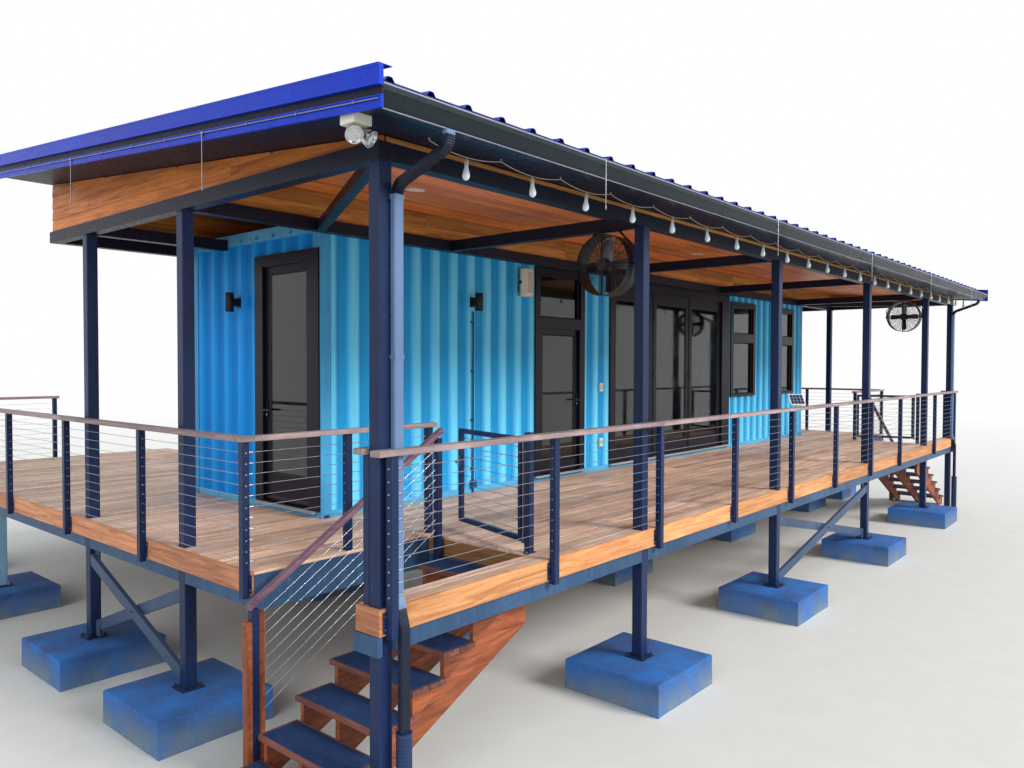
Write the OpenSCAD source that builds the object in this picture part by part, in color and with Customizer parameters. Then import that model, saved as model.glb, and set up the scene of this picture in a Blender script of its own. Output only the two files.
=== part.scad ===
// Shipping container cabin on piers, with a wraparound deck, cable railings and a sloped porch roof.
// Site frame: x runs along the long front side, y runs to the back, z = 0 is the top of the deck.
// The container's front left bottom corner stands at x = 0, y = 0.

/* [Container] */
// Length of the container
box_len = 12192; // [11000:1:13000]
// Width of the container
box_wid = 2438; // [2300:1:2600]
// Height of the container
box_high = 2896; // [2850:1:2950]
// How far the container's underside lies below the top of the deck
box_sink = 50; // [40:1:60]
// Thickness of the insulated walls
wall_t = 110; // [90:1:120]
// Side of the square corner posts
corner = 120; // [115:1:140]
// Height of the bottom rails
sill_high = 110; // [100:1:130]
// Height of the top rails
top_rail_high = 120; // [100:1:140]
// Pitch of the wall corrugation
corr_pitch = 278; // [240:1:320]
// Depth of the wall corrugation
corr_deep = 36; // [20:1:45]
// Width of the outer flats of the corrugation
corr_flat = 72; // [50:1:90]
// Thickness of the floor
floor_t = 80; // [60:1:100]
// Thickness of the container's own roof
lid_t = 50; // [30:1:60]

/* [Doors and windows] */
// Left side of the end door's opening, from the front corner
end_door_y = 120; // [120:1:300]
// Width of the end door's opening
end_door_wid = 910; // [850:1:1000]
// Top of the end door's opening above the deck
end_door_top = 2520; // [2200:1:2600]
// Wall between the entry door's opening and the patio door opening
door_gap = 720; // [600:1:860]
// Width of the entry door's opening
entry_wid = 960; // [900:1:1000]
// Top of the entry door's leaf above the deck
entry_leaf_top = 1950; // [1900:1:2050]
// Height of the bar between the entry door and its transom
transom_bar = 120; // [80:1:140]
// Height of the wall between the tall openings and the top rail
tall_header = 66; // [60:1:220]
// Wall between the patio door opening and the first window's opening
patio_gap = 170; // [150:1:260]
// Width of the patio door opening
patio_wid = 3700; // [3400:1:3800]
// Wall between the two window openings
window_gap = 950; // [800:1:1100]
// Wall between the second window's opening and the container's right end
window_end = 552; // [400:1:700]
// Width of each window opening
window_wid = 940; // [800:1:1000]
// Bottom of the window openings above the deck
window_sill = 900; // [700:1:1100]
// Height of the wall between the window openings and the top rail
window_header = 166; // [110:1:300]
// Width of the frame members in the wall openings
jamb = 45; // [35:1:60]
// How far the window and door frames stand proud of the wall
frame_proud = 20; // [10:1:30]
// Width of the door leaves' uprights
stile = 80; // [60:1:100]
// Thickness of the door leaves
leaf_t = 50; // [40:1:60]
// Gap round the door leaves
leaf_gap = 8; // [7:1:10]
// Thickness of the glass units
glass_t = 24; // [16:1:28]

/* [Deck] */
// Distance from the container's left end to the left posts
left_porch = 1390; // [1250:1:1500]
// Distance from the container's right end to the right posts
right_porch = 1260; // [1250:1:1500]
// Distance from the container's front to the front posts
front_porch = 2530; // [2450:1:2700]
// How far the deck reaches beyond the left and right posts
deck_lip = 80; // [70:1:200]
// Distance from the container's front to the back edge of the rear deck
rear_edge = 7200; // [6500:1:7600]
// Right edge of the rear deck
rear_deck_x = 2000; // [1800:1:2400]
// Thickness of the deck boards
board_t = 25; // [20:1:30]
// Height of the joists
joist_high = 140; // [120:1:160]
// Thickness of the joists
joist_t = 38; // [30:1:45]
// Spacing of the joists
joist_step = 406; // [350:1:500]
// Height of the steel deck beams
beam_high = 120; // [100:1:140]
// Thickness of the fascia boards
fascia_t = 25; // [20:1:30]
// Height of the deck above the ground
deck_high = 1420; // [1300:1:1500]

/* [Posts and piers] */
// Side of the square steel posts
post = 100; // [90:1:110]
// Wall of the steel posts
post_wall = 6; // [4:1:8]
// Distance of the first inner front post from the container's left end
post_a_in = 1600; // [1500:1:1700]
// Distance of the last inner front post from the container's right end
post_d_in = 692; // [640:1:790]
// Width of the bay beside the last inner front post
last_bay = 3450; // [3300:1:3550]
// Width of the middle bay
middle_bay = 3430; // [3300:1:3550]
// Distance of the first side posts in front of the container's front
side_post_front = 135; // [110:1:160]
// Distance of the second side posts behind the container's front
side_post_back = 1712; // [1600:1:1800]
// Side of the footing blocks
footing = 950; // [800:1:1000]
// Height of the footing blocks
footing_high = 270; // [240:1:320]
// Distance of the rear piers behind the container's front
pier_back = 2250; // [2200:1:2300]

/* [Porch roof] */
// Underside of the roof girders above the deck
girder_low = 2690; // [2600:1:2720]
// Height of the roof girders
girder_high = 110; // [100:1:135]
// Underside of the roof at the front posts
soffit_low = 2840; // [2820:1:2900]
// Slope of the roof in degrees
roof_slope = 5; // [3:0.1:6]
// Overhang of the roof beyond the left and right posts
side_overhang = 460; // [400:1:550]
// Overhang of the roof beyond the front posts
front_overhang = 450; // [400:1:500]
// Back edge of the roof from the container's front
roof_back = 2650; // [2600:1:2800]
// Thickness of the ceiling boards
ceiling_t = 20; // [15:1:25]
// Height of the purlins between ceiling and roof sheet
purlin_high = 153; // [120:1:170]
// Thickness of the roof sheet
sheet_t = 4; // [3:1:6]
// Spacing of the ribs of the roof sheet
rib_step = 305; // [250:1:400]
// Height of the ribs of the roof sheet
rib_high = 25; // [15:1:32]

/* [Railings] */
// Height of the railings above the deck
rail_high = 960; // [900:1:1100]
// Spacing of the posts of the front railing
front_rail_step = 1555; // [1400:1:1700]
// Spacing of the posts of the side railings
side_rail_step = 1600; // [1400:1:1700]
// Side of the railing posts
rail_post = 55; // [45:1:60]
// Thickness of the wood rail cap
cap_t = 38; // [30:1:45]
// Width of the wood rail cap
cap_wid = 90; // [80:1:92]
// Number of cables in each railing
cable_count = 11; // [8:1:12]
// Diameter of the cables
cable_dia = 6; // [5:1:8]

/* [Stairs and gates] */
// Where the stair opening ends, from the container's left end
stair_top_x = 220; // [180:1:300]
// Width of the strip of deck in front of the stair opening
stair_strip = 200; // [180:1:240]
// Far side of the stair opening in front of the container's front
stair_far = 1250; // [1150:1:1300]
// Number of risers in a flight
riser_count = 8; // [7:1:9]
// Depth of each step
going = 295; // [250:1:310]
// Thickness of the treads
tread_t = 40; // [30:1:50]
// Thickness of the stair strings
string_t = 40; // [30:1:50]
// How far the gate stands open, in degrees
gate_ajar = 16; // [5:1:30]
// Length of the gate
gate_len = 1000; // [850:1:1010]

/* [Wall lamps] */
// Distance of the end lamp behind the container's front
end_lamp_y = 1450; // [1300:1:1600]
// Distance between the front lamp and the entry door's opening
front_lamp_gap = 1180; // [1000:1:1300]
// Height of the wall lamps above the deck
lamp_z = 2120; // [1900:1:2300]

/* [Porch fans] */
// Diameter of the drum fans
fan_dia = 560; // [450:1:620]
// Depth of the drum fans
fan_deep = 200; // [150:1:260]

/* [Hidden] */
clear = 0.3;
eps = 1;

box_low = -box_sink;
box_top = box_high - box_sink;
sill_top = box_low + sill_high;
rail_low = box_top - top_rail_high;
left_x = -left_porch;
right_x = box_len + right_porch;
front_y = -front_porch;
mid_x = (left_x + right_x) / 2;
ground_z = -deck_high;
footing_top = ground_z + footing_high;
joist_top = -board_t;
joist_low = joist_top - joist_high;
beam_low = joist_low - beam_high;
deck_left = left_x - deck_lip;
deck_right = right_x + deck_lip;
deck_front = front_y - post / 2;
fascia_front = deck_front - fascia_t;
girder_top = girder_low + girder_high;
roof_left = left_x - side_overhang;
roof_right = right_x + side_overhang;
roof_front = front_y - front_overhang;
front_post_a = post_a_in;
front_post_d = box_len - post_d_in;
front_post_c = front_post_d - last_bay;
front_post_b = front_post_c - middle_bay;
inner_posts = [front_post_a, front_post_b, front_post_c, front_post_d];
front_posts_x = concat([left_x], inner_posts, [right_x]);
rear_pier_in = 250;
rear_pier_x = rear_deck_x - rear_pier_in;
rear_piers_y = [(box_wid + rear_edge) / 2 - footing / 2, rear_edge - footing / 2 - eps];
tall_top = rail_low - tall_header;
window_top = rail_low - window_header;
window_b_x = box_len - window_end - window_wid;
window_a_x = window_b_x - window_gap - window_wid;
patio_x = window_a_x - patio_gap - patio_wid;
entry_x = patio_x - door_gap - entry_wid;
front_lamp_x = entry_x - front_lamp_gap;

// Height of the roof's underside at a distance y from the container's front
function soffit(y) = soffit_low + (y - front_y) * tan(roof_slope);

// The whole part stands with the centre of its outline over the origin and the ground at z = 0
gutter_deep = 130;
part_front = roof_front - gutter_deep;
part_back = rear_edge + fascia_t + rail_post / 2 + cap_wid / 2;
part_mid_y = (part_front + part_back) / 2;
module place() {
    translate([-mid_x, -part_mid_y, deck_high]) children();
}

module other_side() {
    translate([2 * mid_x, 0, 0]) mirror([1, 0, 0]) children();
}

// A bar between two corners
module bar(low, high) {
    translate(low) cube(high - low);
}

module tube_post(x, y, low, high) {
    translate([x, y, low]) linear_extrude(high - low) difference() {
        square(post, center = true);
        square(post - 2 * post_wall, center = true);
    }
}

// Footings, piers and posts
footing_spots = concat(
    [for (x = inner_posts) [x, front_y]],
    [for (x = front_posts_x) [x, -side_post_front]],
    [for (x = front_posts_x) [x, (x == left_x || x == right_x) ? side_post_back : pier_back]],
    [for (x = [left_x, rear_pier_x]) for (y = rear_piers_y) [x, y]]);
module footings() {
    color("steelblue") for (p = footing_spots)
        bar([p.x - footing / 2, p.y - footing / 2, ground_z], [p.x + footing / 2, p.y + footing / 2, footing_top]);
}

module piers() {
    color("lightsteelblue") {
        for (x = inner_posts) for (y = [-side_post_front, pier_back])
            tube_post(x, y, footing_top, beam_low);
        for (x = [left_x, rear_pier_x]) for (y = rear_piers_y)
            tube_post(x, y, footing_top, beam_low);
    }
}

module porch_posts() {
    color("midnightblue") {
        for (x = inner_posts) tube_post(x, front_y, footing_top, girder_low);
        for (x = [left_x, right_x]) {
            tube_post(x, front_y, ground_z, girder_low);
            for (y = [-side_post_front, side_post_back]) tube_post(x, y, footing_top, girder_low);
        }
    }
}

// Deck structure
half = post / 2;
box_beam_in = 100;
module beams_between(xs, y) {
    for (i = [0:len(xs) - 2])
        bar([xs[i] + half, y - half, beam_low], [xs[i + 1] - half, y + half, joist_low]);
}
module deck_beams() {
    color("midnightblue") {
        beams_between(front_posts_x, front_y);
        bar([left_x + half, -side_post_front - half, beam_low],
            [right_x - half, -side_post_front + half, joist_low]);
        for (y = [box_beam_in, box_wid - box_beam_in])
            bar([corner, y - half, joist_low], [box_len - corner, y + half, box_low]);
        for (y = rear_piers_y)
            bar([left_x + half, y - half, beam_low], [rear_deck_x, y + half, joist_low]);
        well_beam();
        other_side() well_beam();
    }
}
// The deep edge beam on the far side of a stair opening
module well_beam() {
    bar([deck_left, -stair_far, beam_low], [stair_top_x - eps, -stair_far + well_beam_t, joist_top]);
}
well_beam_t = 60;

// The short beam and board that close the left end of the strip before a stair opening
module strip_end(low, high, thick) {
    bar([left_x - half - thick, fascia_front, low], [left_x - half - clear, stair_near, high]);
}
strip_beam_t = 40;
module deck_cross_beams() {
    color("midnightblue") {
        strip_end(beam_low, joist_low, strip_beam_t);
        other_side() strip_end(beam_low, joist_low, strip_beam_t);
        for (x = inner_posts)
            bar([x - half, -side_post_front + half, beam_low], [x + half, box_wid, joist_low]);
        for (x = [left_x, right_x]) {
            bar([x - half, -stair_far + well_beam_t, beam_low], [x + half, -side_post_front - half, joist_low]);
            bar([x - half, -side_post_front + half, beam_low], [x + half, side_post_back - half, joist_low]);
        }
        bar([left_x - half, side_post_back + half, beam_low], [left_x + half, rear_edge, joist_low]);
        bar([right_x - half, side_post_back + half, beam_low], [right_x + half, box_wid, joist_low]);
        stair_header();
        other_side() stair_header();
    }
}

// The beam that carries the top of a stair
module stair_header() {
    bar([stair_top_x, front_y + half, beam_low], [stair_top_x + post, -side_post_front - half, joist_low]);
}

function steps(low, high, step) = [for (i = [0:floor((high - low) / step)]) low + i * step];
joist_inset = 60;
module joist(x, y0, y1) {
    bar([x - joist_t / 2, y0, joist_low], [x + joist_t / 2, y1, joist_top]);
}
module strip_blocking() {
    bar([left_x + half, front_y + half, joist_low], [stair_top_x - eps, stair_near - fascia_t, joist_top]);
}
// Where the edge joists are cut to pass the side posts
module post_notches() {
    for (x = [left_x, right_x]) for (y = [-side_post_front, side_post_back])
        translate([x, y, joist_low - eps]) linear_extrude(joist_high + 2 * eps)
            square(post + 2 * clear, center = true);
}
module deck_joists() {
    color("peru") {
        for (x = steps(stair_top_x + joist_t / 2, 2 * mid_x - stair_top_x - joist_inset, joist_step))
            joist(x, front_y + half, 0);
        joist(2 * mid_x - stair_top_x - joist_t / 2, front_y + half, 0);
        for (x = [left_x + half + joist_inset, left_x / 2, -joist_inset])
            joist(x, -stair_far + well_beam_t, rear_edge);
        for (x = [right_x - half - joist_inset, box_len + joist_inset])
            joist(x, -stair_far + well_beam_t, box_wid);
        difference() {
            joist(deck_left + joist_t / 2, -stair_far + well_beam_t, rear_edge);
            post_notches();
        }
        difference() {
            joist(deck_right - joist_t / 2, -stair_far + well_beam_t, box_wid);
            post_notches();
        }
        for (x = steps(joist_step - joist_inset, rear_deck_x - joist_inset, joist_step))
            joist(x, box_wid, rear_edge);
        strip_blocking();
        other_side() strip_blocking();
    }
}

post_gap = 4;
module post_holes() {
    hole = post + 2 * post_gap;
    for (x = front_posts_x) translate([x, front_y]) square(hole, center = true);
    for (x = [left_x, right_x]) for (y = [-side_post_front, side_post_back])
        translate([x, y]) square(hole, center = true);
}

module boards(low, high) {
    translate([0, 0, joist_top]) linear_extrude(board_t) difference() {
        translate(low) square(high - low);
        post_holes();
    }
}

wall_gap = 10;
board_gap = 5;
seam_x = stair_top_x + joist_t / 2;
module front_deck() {
    color("sienna") difference() {
        boards([stair_top_x, deck_front], [2 * mid_x - stair_top_x, -wall_gap]);
        side_cut();
        other_side() side_cut();
    }
}
module side_cut() {
    bar([stair_top_x - eps, -stair_far - board_gap, joist_top - eps], [seam_x + board_gap, eps, eps]);
}
module strip() {
    boards([left_x - half, deck_front], [stair_top_x - eps, stair_near]);
}
// The deck beside an end of the container and in front of its corner
module side_deck(box_x, back) {
    difference() {
        boards([deck_left, -stair_far], [seam_x, back]);
        bar([box_x - wall_gap, -wall_gap, joist_top - eps], [seam_x + eps, back + eps, eps]);
    }
}
module side_decks() {
    color("sienna") {
        side_deck(0, rear_edge);
        other_side() side_deck(2 * mid_x - box_len, box_wid);
        strip();
        other_side() strip();
    }
}
module rear_deck() {
    color("sienna") boards([board_gap - wall_gap, box_wid + wall_gap], [rear_deck_x, rear_edge]);
}

module deck_fascia() {
    color("peru") {
        bar([left_x - half, fascia_front, joist_low], [right_x + half, deck_front, 0]);
        bar([deck_left - fascia_t, -stair_far, joist_low], [deck_left, rear_edge - eps, 0]);
        bar([deck_right, -stair_far, joist_low], [deck_right + fascia_t, box_wid, 0]);
        bar([deck_left, rear_edge, joist_low], [rear_deck_x, rear_edge + fascia_t, 0]);
        strip_fascia();
        other_side() strip_fascia();
    }
}
module strip_fascia() {
    bar([left_x + half, stair_near - fascia_t, joist_low], [stair_top_x - eps, stair_near, joist_top]);
    strip_end(joist_low, 0, fascia_t);
}

module brace(x0, z0, x1, z1, y) {
    run = x1 - x0;
    rise = z1 - z0;
    translate([x0, y, z0]) rotate([0, -atan2(rise, run), 0])
        translate([0, -20, -40]) cube([sqrt(run * run + rise * rise), 40, 80]);
}
brace_in = 90;
module x_pair(x0, x1, y) {
    low = footing_top + brace_in;
    high = beam_low - brace_in;
    intersection() {
        union() {
            brace(x0, low, x1, high, y - 25);
            brace(x0, high, x1, low, y + 25);
        }
        bar([x0 + half, y - half, footing_top], [x1 - half, y + half, beam_low]);
    }
}
module x_braces() {
    color("midnightblue") {
        x_pair(front_post_b, front_post_c, front_y);
        translate([left_x, 0, 0]) rotate([0, 0, 90])
            x_pair(-side_post_front, side_post_back, 0);
        translate([right_x, 0, 0]) rotate([0, 0, 90])
            x_pair(-side_post_front, side_post_back, 0);
    }
}

// Container shell
skin_in = 8;
corr_slope = (corr_pitch - 2 * corr_flat) / 2;
function corr(d) = let (u = d - corr_pitch * floor(d / corr_pitch))
    u < corr_flat ? 0 :
    u < corr_flat + corr_slope ? corr_deep * (u - corr_flat) / corr_slope :
    u < 2 * corr_flat + corr_slope ? corr_deep :
    corr_deep * (corr_pitch - u) / corr_slope;
corr_breaks = [0, corr_flat, corr_flat + corr_slope, 2 * corr_flat + corr_slope];
function corr_line(x0, x1, start) = concat([[x0, skin_in + corr(x0 - start)]],
    [for (k = [floor((x0 - start) / corr_pitch):ceil((x1 - start) / corr_pitch)]) for (b = corr_breaks)
        let (x = start + k * corr_pitch + b) if (x > x0 + eps && x < x1 - eps) [x, skin_in + corr(x - start)]],
    [[x1, skin_in + corr(x1 - start)]]);
// A corrugated wall with a flat lining, from x0 to x1 along x, with an outer flat centred on x = lined
module ribbed_wall(x0, x1, low, high, lined) {
    translate([0, 0, low]) linear_extrude(high - low)
        polygon(concat(corr_line(x0, x1, lined - corr_flat / 2), [[x1, wall_t], [x0, wall_t]]));
}

openings = [[entry_x, entry_wid, sill_top, tall_top], [patio_x, patio_wid, sill_top, tall_top],
    [window_a_x, window_wid, window_sill, window_top], [window_b_x, window_wid, window_sill, window_top]];
wall_ends = concat([corner], [for (o = openings) each [o[0] - eps / 2, o[0] + o[1] + eps / 2]], [box_len - corner]);
// One piece of the front wall, a hair short of its neighbours
module front_piece(x0, x1, low, high) {
    ribbed_wall(x0 + eps / 2, x1 - eps / 2, low, high, front_lamp_x);
}
module front_wall() {
    color("deepskyblue") {
        for (i = [0:2:len(wall_ends) - 1])
            front_piece(wall_ends[i] - eps / 2, wall_ends[i + 1] + eps / 2, sill_top, rail_low);
        for (o = openings) {
            front_piece(o[0], o[0] + o[1], o[3], rail_low);
            if (o[2] > sill_top) front_piece(o[0], o[0] + o[1], sill_top, o[2]);
        }
    }
}
module back_wall() {
    color("deepskyblue") translate([0, box_wid, 0]) mirror([0, 1, 0])
        ribbed_wall(corner, box_len - corner, sill_top, rail_low, front_lamp_x);
}
end_door_end = end_door_y + end_door_wid;
module left_end_wall() {
    color("dodgerblue") rotate([0, 0, 90]) mirror([0, 1, 0]) {
        ribbed_wall(end_door_end, box_wid - corner, sill_top, rail_low, end_lamp_y);
        ribbed_wall(end_door_y, end_door_end - eps, end_door_top, rail_low, end_lamp_y);
    }
}
module right_end_wall() {
    color("dodgerblue") translate([box_len, 0, 0]) rotate([0, 0, 90])
        ribbed_wall(corner, box_wid - corner, sill_top, rail_low, end_lamp_y);
}
module container_rails() {
    color("steelblue") for (z = [[box_low, sill_top], [rail_low, box_top]]) {
        for (y = [0, box_wid - wall_t])
            bar([corner, y, z[0]], [box_len - corner, y + wall_t, z[1]]);
        for (x = [0, box_len - wall_t])
            bar([x, corner, z[0]], [x + wall_t, box_wid - corner, z[1]]);
    }
}
casting_high = sill_high - clear;
casting_proud = 5;
slot_deep = 30;
module at_corners() {
    for (x = [0, 1]) for (y = [0, 1])
        translate([x * box_len, y * box_wid, 0]) mirror([x, 0, 0]) mirror([0, y, 0]) children();
}
module corner_posts() {
    color("skyblue") at_corners() {
        bar([0, 0, box_low + casting_high], [corner, corner, box_top - casting_high]);
        translate([0, 0, box_low]) casting();
        translate([0, 0, box_top - casting_high]) casting();
    }
}
module casting() {
    difference() {
        translate([-casting_proud, -casting_proud, 0])
            cube([corner + casting_proud, corner + casting_proud, casting_high]);
        translate([corner / 2, -casting_proud, casting_high / 2]) slot();
        translate([-casting_proud, corner / 2, casting_high / 2]) rotate([0, 0, 90]) slot();
    }
}
module slot() {
    translate([0, slot_deep - eps, 0]) rotate([90, 0, 0])
        linear_extrude(2 * slot_deep, center = true) {
            square([24, 50], center = true);
            for (x = [-12, 12]) translate([x, 0]) circle(d = 50, $fn = 32);
        }
}
module container_floor() {
    color("tan") between_posts(sill_top - floor_t, sill_top);
}
lid_down = 10;
module container_roof() {
    color("steelblue") between_posts(box_top - lid_t - lid_down, box_top - lid_down);
}
// A layer that fills the container between its rails and round its corner posts
module between_posts(low, high) {
    difference() {
        bar([wall_t, wall_t, low], [box_len - wall_t, box_wid - wall_t, high]);
        at_corners() bar([0, 0, low - eps], [corner + clear, corner + clear, high + eps]);
    }
}

// Doors and windows
frame_back = 95;
module ring(w, h, side, top, bottom) {
    difference() {
        square([w, h]);
        translate([side, bottom]) square([w - 2 * side, h - top - bottom]);
    }
}
// A flat frame standing in the x-z plane, from y = front to y = back
module standing(x, z, front, back) {
    translate([x, back, z]) rotate([90, 0, 0]) linear_extrude(back - front) children();
}
casing = 50;
threshold = 12;
// A frame in the wall with a flat casing round it, near and far being the casing's widths
module opening_frame(w, low, high, near = casing, far = casing) {
    standing(0, low, -frame_proud, frame_back) ring(w, high - low, jamb, jamb, low > sill_top ? jamb : threshold);
    standing(-near, low, -frame_proud, 0) difference() {
        square([w + near + far, high - low + casing]);
        translate([near, -eps]) square([w, high - low + eps]);
    }
}
// The stop that a leaf closes against
stop_wid = 20;
module leaf_stop(w, low, high) {
    standing(jamb - eps, low, -frame_proud, leaf_front - leaf_gap)
        ring(w - 2 * jamb + 2 * eps, high - low, stop_wid, stop_wid, threshold);
}
module on_left_end() {
    rotate([0, 0, 90]) mirror([0, 1, 0]) children();
}
module end_door_frame() {
    color("#1c1a26") on_left_end() translate([end_door_y, 0, 0]) {
        opening_frame(end_door_wid, sill_top, end_door_top, end_casing_near, end_casing_far);
        leaf_stop(end_door_wid, sill_top, end_door_top - jamb);
    }
    color("#1c1a26") on_end_leaf() frame_knuckles(end_leaf_high);
}
end_casing_near = 105;
end_casing_far = 80;
leaf_front = 20;
knuckle_dia = 12;
knuckle_high = 45;
knuckle_y = leaf_front + leaf_t + 8;
function knuckle_levels(h) = [180, h / 2, h - 180];
// Hinge barrels on a door leaf, each on a plate on the leaf's inner face
module leaf_knuckles(h) {
    for (z = knuckle_levels(h)) translate([0, 0, z]) {
        translate([0, knuckle_y, 0]) cylinder(d = knuckle_dia, h = knuckle_high, $fn = 32);
        bar([1, leaf_front + leaf_t - eps, 0], [26, knuckle_y - 2, knuckle_high]);
    }
}
// The lower barrels of the same hinges, on the frame
module frame_knuckles(h) {
    for (z = knuckle_levels(h)) translate([0, 0, z - clear - knuckle_high]) {
        translate([0, knuckle_y, 0]) cylinder(d = knuckle_dia, h = knuckle_high, $fn = 32);
        bar([-leaf_gap - eps, knuckle_y - 2, 0], [-2, knuckle_y + 2, knuckle_high]);
    }
}
module leaf(w, h, bottom) {
    standing(0, 0, leaf_front, leaf_front + leaf_t) ring(w, h, stile, stile, bottom);
}
module pane(w, h, side, top, bottom) {
    mid = leaf_front + leaf_t / 2;
    standing(side, bottom, mid - glass_t / 2, mid + glass_t / 2) square([w - 2 * side, h - top - bottom]);
}
end_leaf_wid = end_door_wid - 2 * jamb - 2 * leaf_gap;
end_leaf_low = sill_top + threshold + leaf_gap;
end_leaf_high = end_door_top - jamb - leaf_gap - end_leaf_low;
end_leaf_bottom = 270;
module on_end_leaf() {
    on_left_end() translate([end_door_y + jamb + leaf_gap, 0, end_leaf_low]) children();
}
handle_high = 920;
module handle(x, z) {
    translate([x, leaf_front, z]) {
        bar([-14, -12, -90], [14, 0, 90]);
        translate([0, -12, 0]) rotate([90, 0, 0]) cylinder(d = 20, h = 40, $fn = 32);
        bar([-110, -52, -10], [10, -38, 10]);
    }
}
module end_door() {
    color("#1c1a26") on_end_leaf() {
        leaf(end_leaf_wid, end_leaf_high, end_leaf_bottom);
        leaf_knuckles(end_leaf_high);
        handle(end_leaf_wid - stile / 2, handle_high);
    }
}
module end_door_glass() {
    color("lightcyan") on_end_leaf() pane(end_leaf_wid, end_leaf_high, stile, stile, end_leaf_bottom);
}

entry_leaf_wid = entry_wid - 2 * jamb - 2 * leaf_gap;
entry_leaf_low = sill_top + threshold + leaf_gap;
entry_leaf_high = entry_leaf_top - leaf_gap - entry_leaf_low;
entry_leaf_bottom = 130;
module on_entry_leaf() {
    translate([entry_x + jamb + leaf_gap, 0, entry_leaf_low]) children();
}
module entry_door_frame() {
    color("#1c1a26") translate([entry_x, 0, 0]) {
        opening_frame(entry_wid, sill_top, tall_top);
        standing(jamb - eps, entry_leaf_top, -frame_proud, frame_back)
            square([entry_wid - 2 * jamb + 2 * eps, transom_bar]);
        leaf_stop(entry_wid, sill_top, entry_leaf_top + eps);
    }
    color("#1c1a26") on_entry_leaf() {
        frame_knuckles(entry_leaf_high);
    }
}
module entry_door() {
    color("#1c1a26") on_entry_leaf() {
        leaf(entry_leaf_wid, entry_leaf_high, entry_leaf_bottom);
        leaf_knuckles(entry_leaf_high);
        handle(entry_leaf_wid - stile / 2, handle_high);
    }
}
module entry_door_glass() {
    color("lightcyan") on_entry_leaf() pane(entry_leaf_wid, entry_leaf_high, stile, stile, entry_leaf_bottom);
}

patio_leaves = 3;
patio_trim = 240;
patio_head = 90;
patio_stile = 100;
patio_top_rail = 160;
patio_bottom_rail = 190;
patio_inner = patio_wid - jamb - patio_trim;
patio_leaf_wid = patio_inner / patio_leaves;
patio_leaf_low = sill_top + threshold;
patio_leaf_high = tall_top - patio_head - patio_leaf_low;
module patio_doors() {
    color("#1c1a26") translate([patio_x, 0, 0]) {
        opening_frame(patio_wid, sill_top, tall_top);
        standing(patio_wid - patio_trim, sill_top, -frame_proud, frame_back) square([patio_trim, tall_top - sill_top]);
        standing(eps, tall_top - patio_head, -frame_proud, frame_back) square([patio_wid - 2 * eps, patio_head]);
        for (i = [0:patio_leaves - 1])
            standing(jamb + i * patio_leaf_wid - eps, patio_leaf_low - eps, leaf_front, leaf_front + leaf_t)
                ring(patio_leaf_wid + 2 * eps, patio_leaf_high + 2 * eps, patio_stile + eps,
                    patio_top_rail + eps, patio_bottom_rail + eps);
    }
}
window_mullion_low = 1880;
window_mullion_high = 2040;
module side_windows() {
    color("#1c1a26") for (x = [window_a_x, window_b_x]) translate([x, 0, 0]) {
        opening_frame(window_wid, window_sill, window_top);
        standing(jamb - eps, window_mullion_low, -frame_proud, frame_back)
            square([window_wid - 2 * jamb + 2 * eps, window_mullion_high - window_mullion_low]);
    }
}
module fixed_pane(x, w, low, high) {
    mid = leaf_front + leaf_t / 2;
    standing(x, low, mid - glass_t / 2, mid + glass_t / 2) square([w, high - low]);
}
module fixed_glass() {
    color("lightcyan") {
        fixed_pane(entry_x + jamb, entry_wid - 2 * jamb, entry_leaf_top + transom_bar, tall_top - jamb);
        for (i = [0:patio_leaves - 1])
            fixed_pane(patio_x + jamb + i * patio_leaf_wid + patio_stile, patio_leaf_wid - 2 * patio_stile,
                patio_leaf_low + patio_bottom_rail, patio_leaf_low + patio_leaf_high - patio_top_rail);
        for (x = [window_a_x, window_b_x]) {
            fixed_pane(x + jamb, window_wid - 2 * jamb, window_sill + jamb, window_mullion_low);
            fixed_pane(x + jamb, window_wid - 2 * jamb, window_mullion_high, window_top - jamb);
        }
    }
}

// Porch roof
back_girder_y = box_wid + 40 + half;
module roof_girders() {
    color("midnightblue") {
        for (x = [left_x, right_x])
            bar([x - half, front_y - half, girder_low], [x + half, back_girder_y + half, girder_top]);
        for (y = [front_y, back_girder_y])
            bar([left_x + half + clear, y - half, girder_low], [right_x - half - clear, y + half, girder_top]);
    }
}
module roof_cross_beams() {
    color("midnightblue") {
        bar([left_x + half + clear, -side_post_front - half, girder_low],
            [right_x - half - clear, -side_post_front + half, girder_top]);
        for (x = inner_posts)
            bar([x - half, front_y + half + clear, girder_low], [x + half, -side_post_front - half - clear, girder_top]);
        for (ends = [[left_x + half + clear, -clear], [box_len + clear, right_x - half - clear]])
            bar([ends[0], side_post_back - half, girder_low], [ends[1], side_post_back + half, girder_top]);
        corner_brace();
        other_side() corner_brace();
    }
}
brace_wid = 80;
brace_end_x = -95;
// The flat diagonal from a corner post to the beam along the container
module corner_brace() {
    run = [brace_end_x - left_x, -side_post_front - front_y];
    intersection() {
        translate([left_x, front_y, girder_low]) rotate([0, 0, atan2(run.y, run.x)])
            translate([0, -brace_wid / 2, 0]) cube([norm(run), brace_wid, brace_wid]);
        bar([left_x + half + clear, front_y + half + clear, girder_low],
            [brace_end_x + post, -side_post_front - half - clear, girder_top]);
    }
}
// A solid with a straight underside and a top that follows the roof, between two depths
module under_roof(x0, x1, y0, y1, low) {
    translate([x0, 0, 0]) rotate([90, 0, 90]) linear_extrude(x1 - x0)
        polygon([[y0, low], [y1, low], [y1, soffit(y1) - clear], [y0, soffit(y0) - clear]]);
}
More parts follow.
